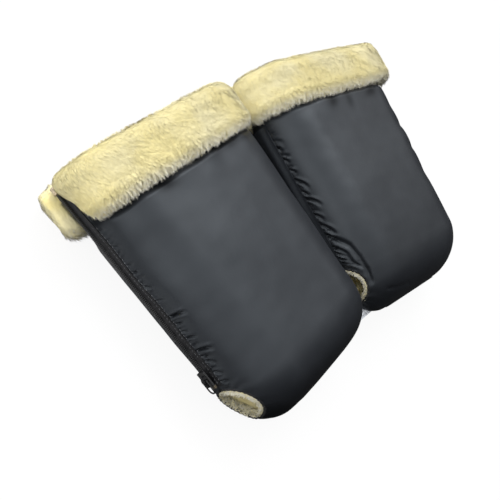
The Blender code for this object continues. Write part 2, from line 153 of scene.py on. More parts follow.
def panel(half, y, c, inset, inner_end=0.0, outer_end=0.0):
    """x, y and height on one half. c runs 0 to 1 up the inner side, to 2 across, to 3 down the outer.

    The two sides start at the heights inner_end and outer_end.
    """
    y, c, inset = broadcast(y, c, inset)
    inner, outer = side_lines(y, inset)
    high = wall_height(half, y, inset)
    roll = SIDE_ROLL - inset
    first, last = (np.arcsin(np.clip(end / high, 0, 0.999)) for end in (inner_end, outer_end))
    quarter = math.pi / 2
    t_in = first + (quarter - first) * np.clip(c, 0, 1)
    t_out = last + (quarter - last) * np.clip(3 - c, 0, 1)
    left, right = inner + roll, outer - roll
    middle = left + (right - left) * np.clip(c - 1, 0, 1)
    on_sides = [c <= 1, c >= 2]
    x = np.select(on_sides, [inner + roll * (1 - np.cos(t_in)), outer - roll * (1 - np.cos(t_out))], middle)
    up = np.select(on_sides, [np.sin(t_in), np.sin(t_out)], 1.0)
    share = (x - inner) / (outer - inner)
    crown = CROWN[half] * foot_rise(y, inset) * (1 - neck_share(half, y) / 2)
    return x, y, high * up + crown * 4 * share * (1 - share)


def on_side(half, edge, y, height, inset):
    """x, y and height on the inner or the outer side wall, at a height from the seam."""
    y, height, inset = broadcast(y, height, inset)
    inner, outer = side_lines(y, inset)
    upright = np.sqrt(np.maximum(1 - (height / wall_height(half, y, inset)) ** 2, 0))
    lean = (SIDE_ROLL - inset) * (1 - upright)
    return (inner + lean if edge == INNER else outer - lean), y, height


def slot_height(y):
    """Height of the bar slot's edge above the seam."""
    return np.sqrt(np.maximum(SLOT_RADIUS**2 - (y - SLOT_Y) ** 2, 0))


def round_slot(reach, turn):
    """y and height round the middle of the bar slot."""
    return SLOT_Y + reach * np.cos(turn), reach * np.sin(turn)


# World points

def world(word, x, y, z):
    across = PAIR_X + x * math.cos(SPLAY) + y * math.sin(SPLAY)
    along = PAIR_Y - x * math.sin(SPLAY) + y * math.cos(SPLAY)
    return np.stack(np.broadcast_arrays(SIDES[word] * across, along, z), -1)


def place(word, half, x, y, height):
    return world(word, x, y, SEAM_Z + half * (SEAM_GAP / 2 + height))


def on_wall(word, half, edge, y, height, inset):
    return place(word, half, *on_side(half, edge, y, height, inset))


def on_seam_line(word, edge, out, along, z):
    """Points by a straight side seam: outward from it, along it from the foot, and z from it."""
    x = WIDTH_AT_FOOT / 2 + out * math.cos(TAPER) + along * math.sin(TAPER)
    y = -out * math.sin(TAPER) + along * math.cos(TAPER)
    return world(word, edge * x, y, SEAM_Z + z)


def inset_grid(word, half, rows, cols, inset):
    """Points of a layer inside the shell, whose rows draw in at the foot."""
    shifted = np.where(rows < FOOT_ROLL, inset + rows * (1 - inset / FOOT_ROLL), rows)
    ends = slot_height(shifted)
    return place(word, half, *panel(half, shifted, cols, inset, ends, ends))


def rows_along(step, near):
    """Distances from the foot, closer together round the foot and the bar slot."""
    foot = FOOT_ROLL * (1 - np.cos(np.linspace(0, math.pi / 2, near)))
    slot = SLOT_Y - SLOT_RADIUS * np.cos(np.linspace(0, math.pi, near + 5))
    kept = [0.0]
    for row in np.sort(np.concatenate([foot, slot, np.arange(FOOT_ROLL, SHELL_LENGTH, step)])):
        if row - kept[-1] > ROW_GAP:
            kept.append(row)
    kept[-1] = SHELL_LENGTH
    return np.array(kept)[:, None]


def columns(roll, middle):
    """Values of c from the inner side to the outer."""
    parts = (np.linspace(0, 1, roll)[:-1], np.linspace(1, 2, middle)[:-1], np.linspace(2, 3, roll))
    return np.concatenate(parts)[None, :]


SHELL_ROWS, SHELL_COLUMNS = rows_along(0.8 * MM, 32), columns(50, 46)
LINING_ROWS, LINING_COLUMNS = rows_along(2.4 * MM, 26), columns(30, 40)


# Fields over a surface

def waves(seed, a, b, length, count=10):
    """Smooth random height over two coordinates, about -1 to 1, with waves of about one length."""
    rng = np.random.default_rng(seed)
    total = 0.0
    for _ in range(count):
        angle, phase = rng.uniform(0, 2 * math.pi, 2)
        stretch = rng.uniform(0.7, 1.4) * length
        total = total + np.sin(2 * math.pi * (a * math.cos(angle) + b * math.sin(angle)) / stretch + phase)
    return total * 0.8 / math.sqrt(count / 2)


def layered_waves(seed, a, b, layers):
    """Waves of several lengths together. Each layer is (length, height)."""
    return sum(high * waves(seed + k, a, b, length) for k, (length, high) in enumerate(layers))


def grid_normals(points, outward):
    """Unit normals of a grid, turned so that they agree with outward (an array or one vector)."""
    normal = unit(np.cross(np.gradient(points, axis=1), np.gradient(points, axis=0)))
    return normal * (np.sign(np.sum(normal * outward)) or 1)


def along_columns(points):
    """Distance of each point from the first and from the last column, along its row."""
    step = np.linalg.norm(np.diff(points, axis=1), axis=-1)
    run = np.concatenate([np.zeros((len(points), 1)), np.cumsum(step, axis=1)], axis=1)
    return run, run[:, -1:] - run


def running(path):
    """Distance of each point of a path from its start."""
    return np.concatenate([[0], np.cumsum(np.linalg.norm(np.diff(path, axis=0), axis=1))])


def sampled(at, run, path):
    """Points of a path at distances along it."""
    return np.stack([np.interp(at, run, column) for column in path.T], -1)


# Meshes and pieces

def quads(rows, cols, start=0, closed=False):
    """Faces of a grid of points. A closed one joins its last row to its first."""
    j, i = np.meshgrid(np.arange(rows if closed else rows - 1), np.arange(cols - 1), indexing="ij")
    a = start + j * cols + i
    b = start + ((j + 1) % rows) * cols + i
    return np.stack([a, a + 1, b + 1, b], -1).reshape(-1, 4)


def fill_mesh(name, verts, faces):
    """A mesh from arrays. Faces are rows of three or four vertex numbers."""
    made = bpy.data.meshes.new(name)
    made.vertices.add(len(verts))
    made.vertices.foreach_set("co", np.asarray(verts, np.float32).ravel())
    made.loops.add(faces.size)
    made.loops.foreach_set("vertex_index", faces.astype(np.int32).ravel())
    made.polygons.add(len(faces))
    made.polygons.foreach_set("loop_start", np.arange(0, faces.size, faces.shape[1], dtype=np.int32))
    made.update(calc_edges=True)
    made.validate()
    return made


def between(name, outer, inner):
    """A closed mesh between two grids of the same size."""
    rows, cols = outer.shape[:2]
    size = rows * cols
    faces = [quads(rows, cols), quads(rows, cols, size)[:, ::-1]]
    top = np.arange(cols)
    side = np.arange(rows) * cols
    for line in (top, top + (rows - 1) * cols, side, side + cols - 1):
        faces.append(np.stack([line[:-1], line[1:], line[1:] + size, line[:-1] + size], -1))
    return fill_mesh(name, np.concatenate([outer.reshape(-1, 3), inner.reshape(-1, 3)]),
                     np.concatenate(faces))


def tube_mesh(name, grid):
    """A closed mesh from a grid whose columns are rings, with a fan over each end."""
    rows, cols = grid.shape[:2]
    middles = [grid[:, end].mean(0)[None] for end in (0, -1)]
    ring = np.arange(rows) * cols
    fans = [np.stack([ring + end, np.roll(ring, -1) + end, np.full(rows, rows * cols + k)], -1)
            for k, end in enumerate((0, cols - 1))]
    walls = quads(rows, cols, closed=True)
    return fill_mesh(name, np.concatenate([grid.reshape(-1, 3), *middles]),
                     np.concatenate([walls[:, [0, 1, 2]], walls[:, [0, 2, 3]], *fans]))


def store(mesh, label, values, kind="FLOAT", field="value"):
    """Keep a number, or a vector, at every vertex of a mesh."""
    made = mesh.attributes.new(label, kind, "POINT")
    made.data.foreach_set(field, np.asarray(values, np.float32).ravel())


def link(name, data):
    made = bpy.data.objects.new(name, data)
    bpy.context.scene.collection.objects.link(made)
    return made


def body_of(word, half):
    return "back_halves" if half == BACK else f"{word}_front_half"


def add_piece(name, mesh, look, body=None, replaces=(), smooth_shading=True, weld=True):
    """A piece of one look, which gives its material."""
    if weld:
        bm = bmesh.new()
        bm.from_mesh(mesh)
        bmesh.ops.remove_doubles(bm, verts=bm.verts, dist=WELD_GAP)
        bmesh.ops.dissolve_degenerate(bm, edges=bm.edges, dist=WELD_GAP)
        bmesh.ops.recalc_face_normals(bm, faces=bm.faces)
        bm.to_mesh(mesh)
        bm.free()
    if smooth_shading:
        mesh.shade_smooth()
        mesh.set_sharp_from_angle(angle=SHARP_FROM)
    piece = link(name, mesh)
    mesh.materials.append(LOOKS[look])
    if replaces:
        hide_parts(*replaces)
    if body:
        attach(piece, body)
    return piece


WELD_GAP, SHARP_FROM = 1e-7, math.radians(65)


# Materials. A mix node has its sockets by kind: two numbers, two colours, and the colour that comes out
NUMBER_A, NUMBER_B, COLOUR_A, COLOUR_B, COLOUR_OUT = 2, 3, 6, 7, 2

# The last nylon colour and the last specular level are those of the shade painted on the nylon
NYLON_DARK, NYLON, NYLON_PAINTED_SHADE = (0.015, 0.0165, 0.020), (0.019, 0.021, 0.025), (0.004, 0.0045, 0.0055)
NYLON_TINT, NYLON_SPECULAR, PAINTED_SHADE_SPECULAR = (0.84, 0.93, 1.0), 0.44, 0.08
CREAM, CREAM_DEEP, CREAM_TIP = (0.945, 0.86, 0.52), (0.94, 0.82, 0.39), (0.965, 0.90, 0.62)
CREAM_WHITE, CREAM_ROOT = (0.96, 0.94, 0.85), (0.86, 0.78, 0.48)
HOOK, HOOK_DARK, HOOK_PALE = (0.03, 0.03, 0.032), (0.012, 0.012, 0.013), (0.05, 0.05, 0.052)


def feed(tree, socket, value):
    """Give a socket another node's output or a value. A colour comes without its alpha."""
    if isinstance(value, bpy.types.NodeSocket):
        tree.links.new(value, socket)
    else:
        socket.default_value = (*value, 1) if socket.type == "RGBA" else value


def node(tree, kind, inputs=None, output=0, **settings):
    """The output that is wanted of a new node, whose inputs are fed by name or number."""
    made = tree.nodes.new(kind)
    for key, value in settings.items():
        setattr(made, key, value)
    for key, value in (inputs or {}).items():
        feed(tree, made.inputs[key], value)
    return made.outputs[output]


def shaded(name, colour, roughness, metallic=0.0, specular=0.5, sheen=0.0):
    """A new material, its tree, and its shader."""
    made = bpy.data.materials.new(name)
    made.use_nodes = True
    tree = made.node_tree
    shader = tree.nodes["Principled BSDF"]
    for key, value in {"Base Color": colour, "Roughness": roughness, "Metallic": metallic,
                       "Specular IOR Level": specular, "Sheen Weight": sheen}.items():
        feed(tree, shader.inputs[key], value)
    return made, tree, shader


def coordinates(tree, kind="Object"):
    return node(tree, "ShaderNodeTexCoord", output=kind)


def attribute(tree, name, output="Fac"):
    return node(tree, "ShaderNodeAttribute", output=output, attribute_name=name)


def noise(tree, scale, detail=3):
    inputs = {"Vector": coordinates(tree), "Scale": scale, "Detail": detail}
    return node(tree, "ShaderNodeTexNoise", inputs, "Fac")


def weave(tree, period, direction):
    """Threads a period apart. A wave texture of scale 1 has 20 waves in a length of 2 pi."""
    inputs = {"Vector": coordinates(tree), "Scale": 2 * math.pi / 20 / period, "Distortion": 0.6,
              "Detail": 1.0}
    return node(tree, "ShaderNodeTexWave", inputs, "Fac", bands_direction=direction)


def mapped(tree, value, start, stop, low=0.0, high=1.0, curve="LINEAR"):
    """A number from low to high, as the value goes from start to stop."""
    inputs = {"Value": value, "From Min": start, "From Max": stop, "To Min": low, "To Max": high}
    return node(tree, "ShaderNodeMapRange", inputs, interpolation_type=curve)


def blend_colours(tree, factor, low, high, start=0.35, stop=0.65):
    """A colour between two, by a factor between start and stop."""
    share = mapped(tree, factor, start, stop, curve="SMOOTHSTEP")
    inputs = {"Factor": share, COLOUR_A: low, COLOUR_B: high}
    return node(tree, "ShaderNodeMix", inputs, COLOUR_OUT, data_type="RGBA")


def dress(tree, shader, colour, bumps=()):
    """Give a shader its colour and a chain of bumps: (height, strength, distance)."""
    feed(tree, shader.inputs["Base Color"], colour)
    inputs = {}
    for height, strength, distance in bumps:
        inputs.update(Height=height, Strength=strength, Distance=distance)
        inputs["Normal"] = node(tree, "ShaderNodeBump", inputs)
    if bumps:
        feed(tree, shader.inputs["Normal"], inputs["Normal"])


def nylon_material():
    made, tree, shader = shaded("nylon", NYLON, 0.42, specular=NYLON_SPECULAR)
    # Where shade is painted on the nylon, its colour goes dark and its specular level drops
    painted_shade = attribute(tree, "painted_shade")
    plain = blend_colours(tree, noise(tree, 30, 4), NYLON_DARK, NYLON)
    feed(tree, shader.inputs["Specular Tint"], NYLON_TINT)
    feed(tree, shader.inputs["Specular IOR Level"],
         mapped(tree, painted_shade, 0, 1, NYLON_SPECULAR, PAINTED_SHADE_SPECULAR))
    dress(tree, shader, blend_colours(tree, painted_shade, plain, NYLON_PAINTED_SHADE, 0, 1),
          [(noise(tree, 60, 4), 0.10, 1.0 * MM), (noise(tree, 420, 2), 0.08, 0.2 * MM),
           (weave(tree, 0.55 * MM, "X"), 0.10, 0.06 * MM), (weave(tree, 0.55 * MM, "Y"), 0.10, 0.06 * MM)])
    return made


def plush_material():
    made, tree, shader = shaded("plush_backing", CREAM, 0.95, specular=0.15, sheen=0.3)
    dress(tree, shader, blend_colours(tree, noise(tree, 40), CREAM_DEEP, CREAM),
          [(noise(tree, 190), 0.6, 1.6 * MM), (noise(tree, 700), 0.5, 0.5 * MM)])
    return made


def pile_material():
    """The plush pile: deeper at the root, paler at the tip, in soft patches.

    Its blades are lit by the way that the whole pile faces there, more than by their own faces.
    """
    made, tree, shader = shaded("plush_pile", CREAM, 0.9, specular=0.12, sheen=0.25)
    tip = attribute(tree, "tip")
    patches = blend_colours(tree, noise(tree, 18), CREAM_DEEP, CREAM, 0.36, 0.64)
    toned = blend_colours(tree, attribute(tree, "tone"), patches, CREAM_TIP, 0.55, 1.5)
    rooted = blend_colours(tree, tip, CREAM_ROOT, toned, 0, 0.45)
    edge_tip = node(tree, "ShaderNodeMath", {0: tip, 1: attribute(tree, "edge")}, operation="MULTIPLY")
    dress(tree, shader, blend_colours(tree, edge_tip, rooted, CREAM_WHITE, 0.25, 1))
    pile_faces = node(tree, "ShaderNodeVectorTransform", {"Vector": attribute(tree, "facing", "Vector")},
                      vector_type="NORMAL", convert_from="OBJECT", convert_to="WORLD")
    own = node(tree, "ShaderNodeNewGeometry", output="Normal")
    both = node(tree, "ShaderNodeVectorMath", {0: own, 1: (0.55, 0.55, 0.55), 2: pile_faces},
                operation="MULTIPLY_ADD")
    lit = node(tree, "ShaderNodeVectorMath", {0: both}, operation="NORMALIZE")
    feed(tree, shader.inputs["Normal"], lit)
    return made


def tape_material(name, colour, period=0.9 * MM, roughness=0.75):
    made, tree, shader = shaded(name, colour, roughness, specular=0.3)
    lighter = tuple(min(1.0, c * 1.7) for c in colour)
    dress(tree, shader, blend_colours(tree, noise(tree, 300, 2), colour, lighter),
          [(weave(tree, period, "DIAGONAL"), 0.5, 0.12 * MM),
           (weave(tree, period * 0.7, "Y"), 0.35, 0.08 * MM)])
    return made


def hook_material():
    made, tree, shader = shaded("hook_tape", HOOK, 0.9, specular=0.2)
    dress(tree, shader, blend_colours(tree, noise(tree, 900, 2), HOOK_DARK, HOOK_PALE),
          [(noise(tree, 1200), 0.8, 0.3 * MM)])
    return made


def metal_material(name, colour, roughness, metallic):
    made, tree, shader = shaded(name, colour, roughness, metallic)
    worn = tuple(c * 0.6 for c in colour)
    dress(tree, shader, blend_colours(tree, noise(tree, 500, 4), worn, colour),
          [(noise(tree, 800), 0.15, 0.05 * MM)])
    return made


# The padded shell. Its padding rises in waves of several lengths: (length, height)
SWELLS = ((0.120, 0.55 * MM), (0.050, 0.15 * MM), (0.021, 0.05 * MM))

# Small creases run from a side seam, from the first place along the mitt to the last. For each edge:
# where they start, their spacing, the deepest and the longest
FIRST_CREASE, LAST_CREASE = 0.064, CUFF_Y - 8 * MM
SMALL_CREASES = {OUTER: (7.5 * MM, 6.5 * MM, 0.9 * MM, 10 * MM), INNER: (8 * MM, 7 * MM, 0.9 * MM, 12 * MM)}

# Larger creases, each by itself: (y and s where it starts, y and s where it ends, depth, width)
CREASES_MM = {
    ("left", FRONT, OUTER): (
        (133.5, 8, 129.5, 25, 2.9, 0.95), (126, 8, 123, 16, 1.7, 0.8), (119, 8, 115, 14, 1.4, 0.7),
        (112, 8, 108, 18, 1.9, 0.85), (98.5, 8, 92, 24, 2.9, 1.0), (93, 8, 87, 14, 1.6, 0.7),
        (88, 8, 79, 17, 2.2, 0.9), (76, 8, 69, 16, 2.0, 0.9), (66, 8, 61, 16, 1.8, 0.9),
        (167, 8, 160, 14, 1.3, 0.8), (208, 8, 202, 15, 1.0, 0.8), (181, 8, 177, 14, 0.9, 0.7)),
    ("right", FRONT, INNER): (
        (201, 7, 192, 13, 2.0, 0.9), (187, 7, 178, 14, 1.8, 0.9), (175, 7, 165, 15, 1.8, 0.8),
        (163, 7, 146, 19, 2.4, 0.95), (150, 7, 138, 15, 1.7, 0.8), (141, 7, 124, 22, 2.4, 0.95),
        (122, 7, 110, 16, 2.0, 0.9), (111, 7, 90, 20, 2.6, 1.1), (98, 7, 80, 20, 2.4, 1.1),
        (84, 7, 58, 24, 2.6, 1.3), (78, 7, 50, 25, 2.4, 1.1), (72, 6, 46, 27, 2.2, 0.95),
        (66, 6, 50, 24, 1.6, 0.8))}

# Where the outer side is drawn in: (place along the mitt, depth, width)
NOTCHES_MM = {("right", FRONT): ((173, 1.5, 6), (144, 1.2, 7), (200, 0.6, 8), (112, 0.7, 9))}

# Valleys in the nylon: (the line that it follows, along the mitt and from the inner edge, depth, width)
VALLEYS_MM = {("right", FRONT): ((((94, 8), (86, 18), (76, 25), (61, 28), (47, 27), (34, 23)), 2.6, 2.6),
                                 (((18, 36), (14, 48), (13, 60)), 1.0, 2.0))}

# Shade is painted on the nylon: darker under the cuff, beside the zip and round the foot, each by its own
# strength, and in painted shade spots under the cuffs and at the foot: (place along the mitt and from the
# inner edge, strength, width, length along the mitt)
PAINTED_SHADE_UNDER_CUFF, PAINTED_SHADE_BY_ZIP, PAINTED_SHADE_AT_FOOT = 0.55, 0.38, 0.42
PAINTED_SHADE_SPOTS_MM = {("left", FRONT): ((224, 168, 0.9, 13, 8), (227, 120, 0.5, 12, 6), (226, 88, 0.8, 20, 7),
                              (231, 205, 0.5, 9, 7), (224, 52, 0.6, 20, 7), (14, 160, 0.35, 130, 24)),
            ("right", FRONT): ((220, 98, 0.8, 10, 8), (217, 124, 0.6, 7, 12), (226, 60, 0.4, 12, 6),
                               (220, 168, 0.7, 15, 7), (48, 80, 0.42, 120, 40))}

# The stitched hem stands up between these distances from the zip's edge, and ripples run beside both edges
HEM_IN, HEM_OUT, HEM_RISE = (6.4 * MM, 7.4 * MM), (9.4 * MM, 10.6 * MM), 0.6 * MM
RIPPLE_PITCH, RIPPLE_AT, RIPPLE_REACH, RIPPLE_RISE = 4.6 * MM, 11 * MM, 4 * MM, 0.16 * MM
# The gathers round a bar slot: how many in a full turn, their height, how far they lie in, and how soon
# they fade
GATHERS, GATHER_RISE, GATHER_SINK, GATHER_FADE = 15, 0.5 * MM, 0.2 * MM, 6 * MM


def crease(t):
    """A narrow valley between two soft ridges, by the distance from it in widths."""
    ridges = (0.4 * np.exp(-((t - at) ** 2) / 1.8) for at in (2.2, -2.2))
    return sum(ridges) - bell(t)


def creases(y, s, found):
    """The relief of creases: each is (y and s where it starts, y and s where it ends, depth, width)."""
    total = np.zeros_like(y)
    for y0, s0, y1, s1, deep, wide in found:
        run, rise = s1 - s0, y1 - y0
        length = math.hypot(run, rise)
        along = ((s - s0) * run + (y - y0) * rise) / length**2
        bend = 0.07 * length * np.sin(math.pi * np.clip(along, 0, 1))
        across = ((y - y0) * run - (s - s0) * rise) / length - bend
        width = wide * (1.0 + 0.6 * np.clip(along, 0, 1))
        total += deep * crease(across / width) * smooth(along, -0.12, 0.15) * falling(along, 0.45, 1.05)
    return total


def small_creases(seed, start, spacing, deepest, longest):
    """Where the cloth is drawn up along a seam, in no even rhythm."""
    rng = np.random.default_rng(seed)
    found, at = [], FIRST_CREASE
    while at < LAST_CREASE:
        deep, reach = deepest * rng.uniform(0.2, 1.0), longest * rng.uniform(0.3, 1.0)
        end = at - reach * rng.uniform(-0.2, 0.9)
        found.append((at, start, end, start + reach, deep, rng.uniform(0.8, 1.5) * MM))
        at += spacing * rng.uniform(0.5, 1.5)
    return found


def seam_wave(word, y):
    """How far the zip side is drawn in along its length: never outward."""
    raw = waves(31 + SIDES[word], y, 0 * y, 0.045, 6)
    return 0.60 * MM * (np.clip(raw, -1.3, 1.0) - 1.0) * smooth(y, 0.066, 0.085)


def line_distance(y, s, line):
    """Distance of each place from a bent line through (y, s) points."""
    found = np.full(y.shape, 1.0)
    for (y0, s0), (y1, s1) in zip(line[:-1], line[1:]):
        run, rise = y1 - y0, s1 - s0
        share = np.clip(((y - y0) * run + (s - s0) * rise) / (run**2 + rise**2), 0, 1)
        found = np.minimum(found, np.hypot(y - y0 - share * run, s - s0 - share * rise))
    return found


def painted_shade_amount(word, half, y, s_in, s_out):
    """How dark the shade painted on the nylon is, 0 to 1."""
    total = PAINTED_SHADE_UNDER_CUFF * bell((CUFF_Y - 1 * MM - y) / (5 * MM))
    total = total + PAINTED_SHADE_BY_ZIP * falling(s_out, 10 * MM, 34 * MM)
    total = total + PAINTED_SHADE_AT_FOOT * falling(y, 2 * MM, 34 * MM)
    for at_y, at_s, deep, wide, tall in PAINTED_SHADE_SPOTS_MM.get((word, half), ()):
        across, along = (s_in - at_s * MM) / (wide * MM), (y - at_y * MM) / (tall * MM)
        total = total + deep * np.exp(-(across - 0.35 * along) ** 2 - along**2)
    return np.clip(total, 0, 1)


def edge_finish(word, seed, y, s_in, s_out):
    """The ripples beside both edges, and the hem and the drawn-in line of the zip side."""
    relief = seam_wave(word, y) * falling(s_out, 10 * MM, 26 * MM)
    relief += HEM_RISE * smooth(s_out, *HEM_IN) * falling(s_out, *HEM_OUT) * smooth(y, 0.058, 0.066)
    for k, s in enumerate((s_in, s_out)):
        ripple = np.sin(2 * math.pi * y / RIPPLE_PITCH + 3 * waves(seed + k, y, s, 0.03))
        relief += RIPPLE_RISE * ripple * bell((s - RIPPLE_AT) / RIPPLE_REACH) * smooth(y, 0.055, 0.065)
    return relief


def slot_gathers(seed, y, height, off_slot, s_in, s_out):
    """The cloth gathered round the bar slots, on the side walls."""
    turn = np.arctan2(height, y - SLOT_Y)
    ribs = GATHER_RISE * np.cos(turn * GATHERS + 2 * waves(seed, y, height, 0.03)) - GATHER_SINK
    at_walls = falling(s_in, 18 * MM, 34 * MM) + falling(s_out, 18 * MM, 34 * MM)
    fade = np.exp(-np.clip(off_slot - SLOT_RADIUS, 0, 1) / GATHER_FADE)
    return ribs * fade * at_walls * smooth(off_slot, SLOT_RADIUS, SLOT_RADIUS + 1.5 * MM)


def shell_relief(word, half, x, y, height, s_in, s_out):
    """How far the nylon stands off its plain form."""
    seed = 100 * (SIDES[word] + 2) + 10 * (half + 2)
    near = np.minimum(s_in, s_out)
    off_slot = np.hypot(y - SLOT_Y, height)
    clear = smooth(off_slot, SLOT_RADIUS + 0.5 * MM, SLOT_RADIUS + 6 * MM)
    padded = smooth(y, 10 * MM, 45 * MM) * (1 - 0.7 * neck_share(BACK, y)) * smooth(near, 6 * MM, 34 * MM)
    relief = padded * layered_waves(seed, x, y, SWELLS)
    for k, (edge, s) in enumerate(((OUTER, s_out), (INNER, s_in))):
        relief += creases(y, s, small_creases(seed + 3 + k, *SMALL_CREASES[edge]))
        relief += creases(y, s, np.array(CREASES_MM.get((word, half, edge), ())) * MM) * clear
    for at, deep, wide in NOTCHES_MM.get((word, half), ()):
        dip = bell((y - at * MM - 0.3 * (s_out - 40 * MM)) / (wide * MM))
        relief -= deep * MM * dip * smooth(s_out, 20 * MM, 34 * MM) * falling(s_out, 44 * MM, 66 * MM)
    relief += edge_finish(word, seed + 5, y, s_in, s_out)
    under_cuff = bell((CUFF_Y - 2 * MM - y) / (12 * MM)) * smooth(near, 12 * MM, 30 * MM)
    relief += under_cuff * 0.55 * MM * waves(seed + 7, x, 0.15 * y, 0.030)
    for line, deep, wide in VALLEYS_MM.get((word, half), ()):
        relief -= deep * MM * bell(line_distance(y, s_in, np.array(line) * MM) / (wide * MM)) * clear
    relief += slot_gathers(seed + 8, y, height, off_slot, s_in, s_out)
    return relief * smooth(height + 0.6 * y, 1 * MM, 6 * MM)


def add_shell(word, half):
    """The nylon over its wadding, as one padded piece. Gives its outer grid with s_in and s_out."""
    ends = slot_height(SHELL_ROWS)
    x, y, height = panel(half, SHELL_ROWS, SHELL_COLUMNS, 0.0, ends, ends)
    outer = place(word, half, x, y, height)
    s_in, s_out = (s + ends for s in along_columns(outer))
    relief = shell_relief(word, half, x, y, height, s_in, s_out)
    outer = outer + grid_normals(outer, half * UP) * relief[..., None]
    if half == BACK:
        outer[..., 2] = np.maximum(outer[..., 2], 0.0)
    inner = inset_grid(word, half, SHELL_ROWS, SHELL_COLUMNS, SHELL_THICK)
    stem = f"{word}_{HALVES[half]}"
    mesh = between(f"{stem}_padded_shell", outer, inner)
    # Shade painted on the nylon, kept at each point of its outer face for the nylon's material
    painted_shade = painted_shade_amount(word, half, y, s_in, s_out)
    store(mesh, "painted_shade", np.stack([painted_shade, 0 * painted_shade]))
    piece = add_piece(f"{stem}_padded_shell", mesh, "nylon", body_of(word, half),
                      (f"{stem}_shell", f"{stem}_wadding"))
    return outer, s_in, s_out


# The lining's nap: (length of its waves, height)
NAP = ((0.011, 0.7 * MM), (0.0055, 0.5 * MM))


def add_lining(word, half):
    """The plush lining, with its nap. Gives the grid of its inner face."""
    outer, inner = (inset_grid(word, half, LINING_ROWS, LINING_COLUMNS, inset)
                    for inset in (LINING_INSET, WALL))
    nap = layered_waves(900 + 10 * SIDES[word] + half, inner[..., 0], inner[..., 1], NAP)
    nap *= smooth(np.minimum(*along_columns(inner)), 0, 5 * MM) * smooth(LINING_ROWS, 0, 8 * MM)
    inner = inner + grid_normals(inner, -half * UP) * nap[..., None]
    name = f"{word}_{HALVES[half]}_plush_lining"
    piece = add_piece(name, between(name, outer, inner), "backing", body_of(word, half),
                      (f"{word}_{HALVES[half]}_lining",))
    return inner


# The cuffs. The section's inner line is CUFF_SEAT from the shell, and it stands out by CUFF_FULL, more by
# OUTER_PUFF toward the zip. In the mouth it ends CUFF_LIP short of the wall's inner face. At the zip it
# starts at ZIP_GROOVE from the seam, and opens by ZIP_FLARE at its low edge on the front
CUFF_SEAT, CUFF_FULL, OUTER_PUFF, CUFF_LIP = -0.7 * MM, 9.2 * MM, 6 * MM, 1.2 * MM
CUFF_INNER_SEAM, ZIP_GROOVE, ZIP_FLARE = 0.6 * MM, 10.5 * MM, 4 * MM
RING_COUNT, CUFF_COLUMNS = 84, columns(34, 62)
# How the cuff narrows to its inner and to its outer end: over what reach, and to what share
CUFF_ENDS = ((5 * MM, 0.30), (10 * MM, 0.42))


def closed_spline(points, count, steps=12):
    """A smooth closed curve through points, as evenly spread samples."""
    points = np.asarray(points, float)
    size = len(points)
    t = np.arange(size * steps) / steps
    i = t.astype(int)
    f = (t - i)[:, None]
    p0, p1, p2, p3 = (points[(i + k) % size] for k in (-1, 0, 1, 2))
    curve = 0.5 * (2 * p1 + (p2 - p0) * f + (2 * p0 - 5 * p1 + 4 * p2 - p3) * f**2
                   + (3 * p1 - p0 - 3 * p2 + p3) * f**3)
    ring = np.vstack([curve, curve[:1]])
    run = running(ring)
    return sampled(np.linspace(0, run[-1], count, endpoint=False), run, ring)


def cuff_section():
    """The cuff's section as (inset, y): its seat, the low edge, the outside, the crest and the mouth."""
    low_edge = [(0.6, 0.5), (1, 8), (1, 16), (1, 28)]
    crest = [(0.95, -5.0), (0.72, 1.5)]
    return [(CUFF_SEAT, SHELL_LENGTH - 6 * MM), (CUFF_SEAT, SHELL_LENGTH - 22 * MM),
            (CUFF_SEAT, CUFF_Y + 6 * MM), (CUFF_SEAT, CUFF_Y + 1 * MM),
            *((CUFF_SEAT - share * CUFF_FULL, CUFF_Y + up * MM) for share, up in low_edge),
            *((CUFF_SEAT - share * CUFF_FULL, SHELL_LENGTH + up * MM) for share, up in crest),
            (CUFF_SEAT - 0.1 * CUFF_FULL, SHELL_LENGTH + 0.48 * CUFF_FULL),
            (CUFF_SEAT + 0.5 * WALL, SHELL_LENGTH + 0.40 * CUFF_FULL),
            (WALL - CUFF_LIP, SHELL_LENGTH + 1.8 * MM), (WALL - CUFF_LIP, SHELL_LENGTH + 0.8 * MM),
            (CUFF_SEAT + 3 * MM, SHELL_LENGTH + 0.8 * MM)]


def cuff_grid(word, half):
    """Points of the cuff's backing, with the inset and y of each."""
    ring = closed_spline(cuff_section(), RING_COUNT)
    inset, y = ring[:, :1], ring[:, 1:]
    fuller = smooth(CUFF_COLUMNS, 1.85, 2.5) * smooth(-inset, 0.2 * CUFF_FULL, CUFF_FULL)
    low = falling(y, SHELL_LENGTH - 32 * MM, SHELL_LENGTH)
    groove = ZIP_GROOVE
    if half == FRONT:
        fuller = fuller * (1 - low * smooth(CUFF_COLUMNS, 2.62, 2.95))
        groove = ZIP_GROOVE + ZIP_FLARE * low
    inset = inset - OUTER_PUFF * fuller
    y = y + 0.25 * OUTER_PUFF * fuller * smooth(y, CUFF_Y + 10 * MM, SHELL_LENGTH)
    x, y, height = panel(half, y, CUFF_COLUMNS, inset, CUFF_INNER_SEAM, groove)
    return place(word, half, x, y, height), inset, y


def along_cuff(grid):
    """Distances from the cuff's inner and outer end, the same all round its section."""
    return along_columns(np.broadcast_to(grid.mean(axis=0, keepdims=True), grid.shape))


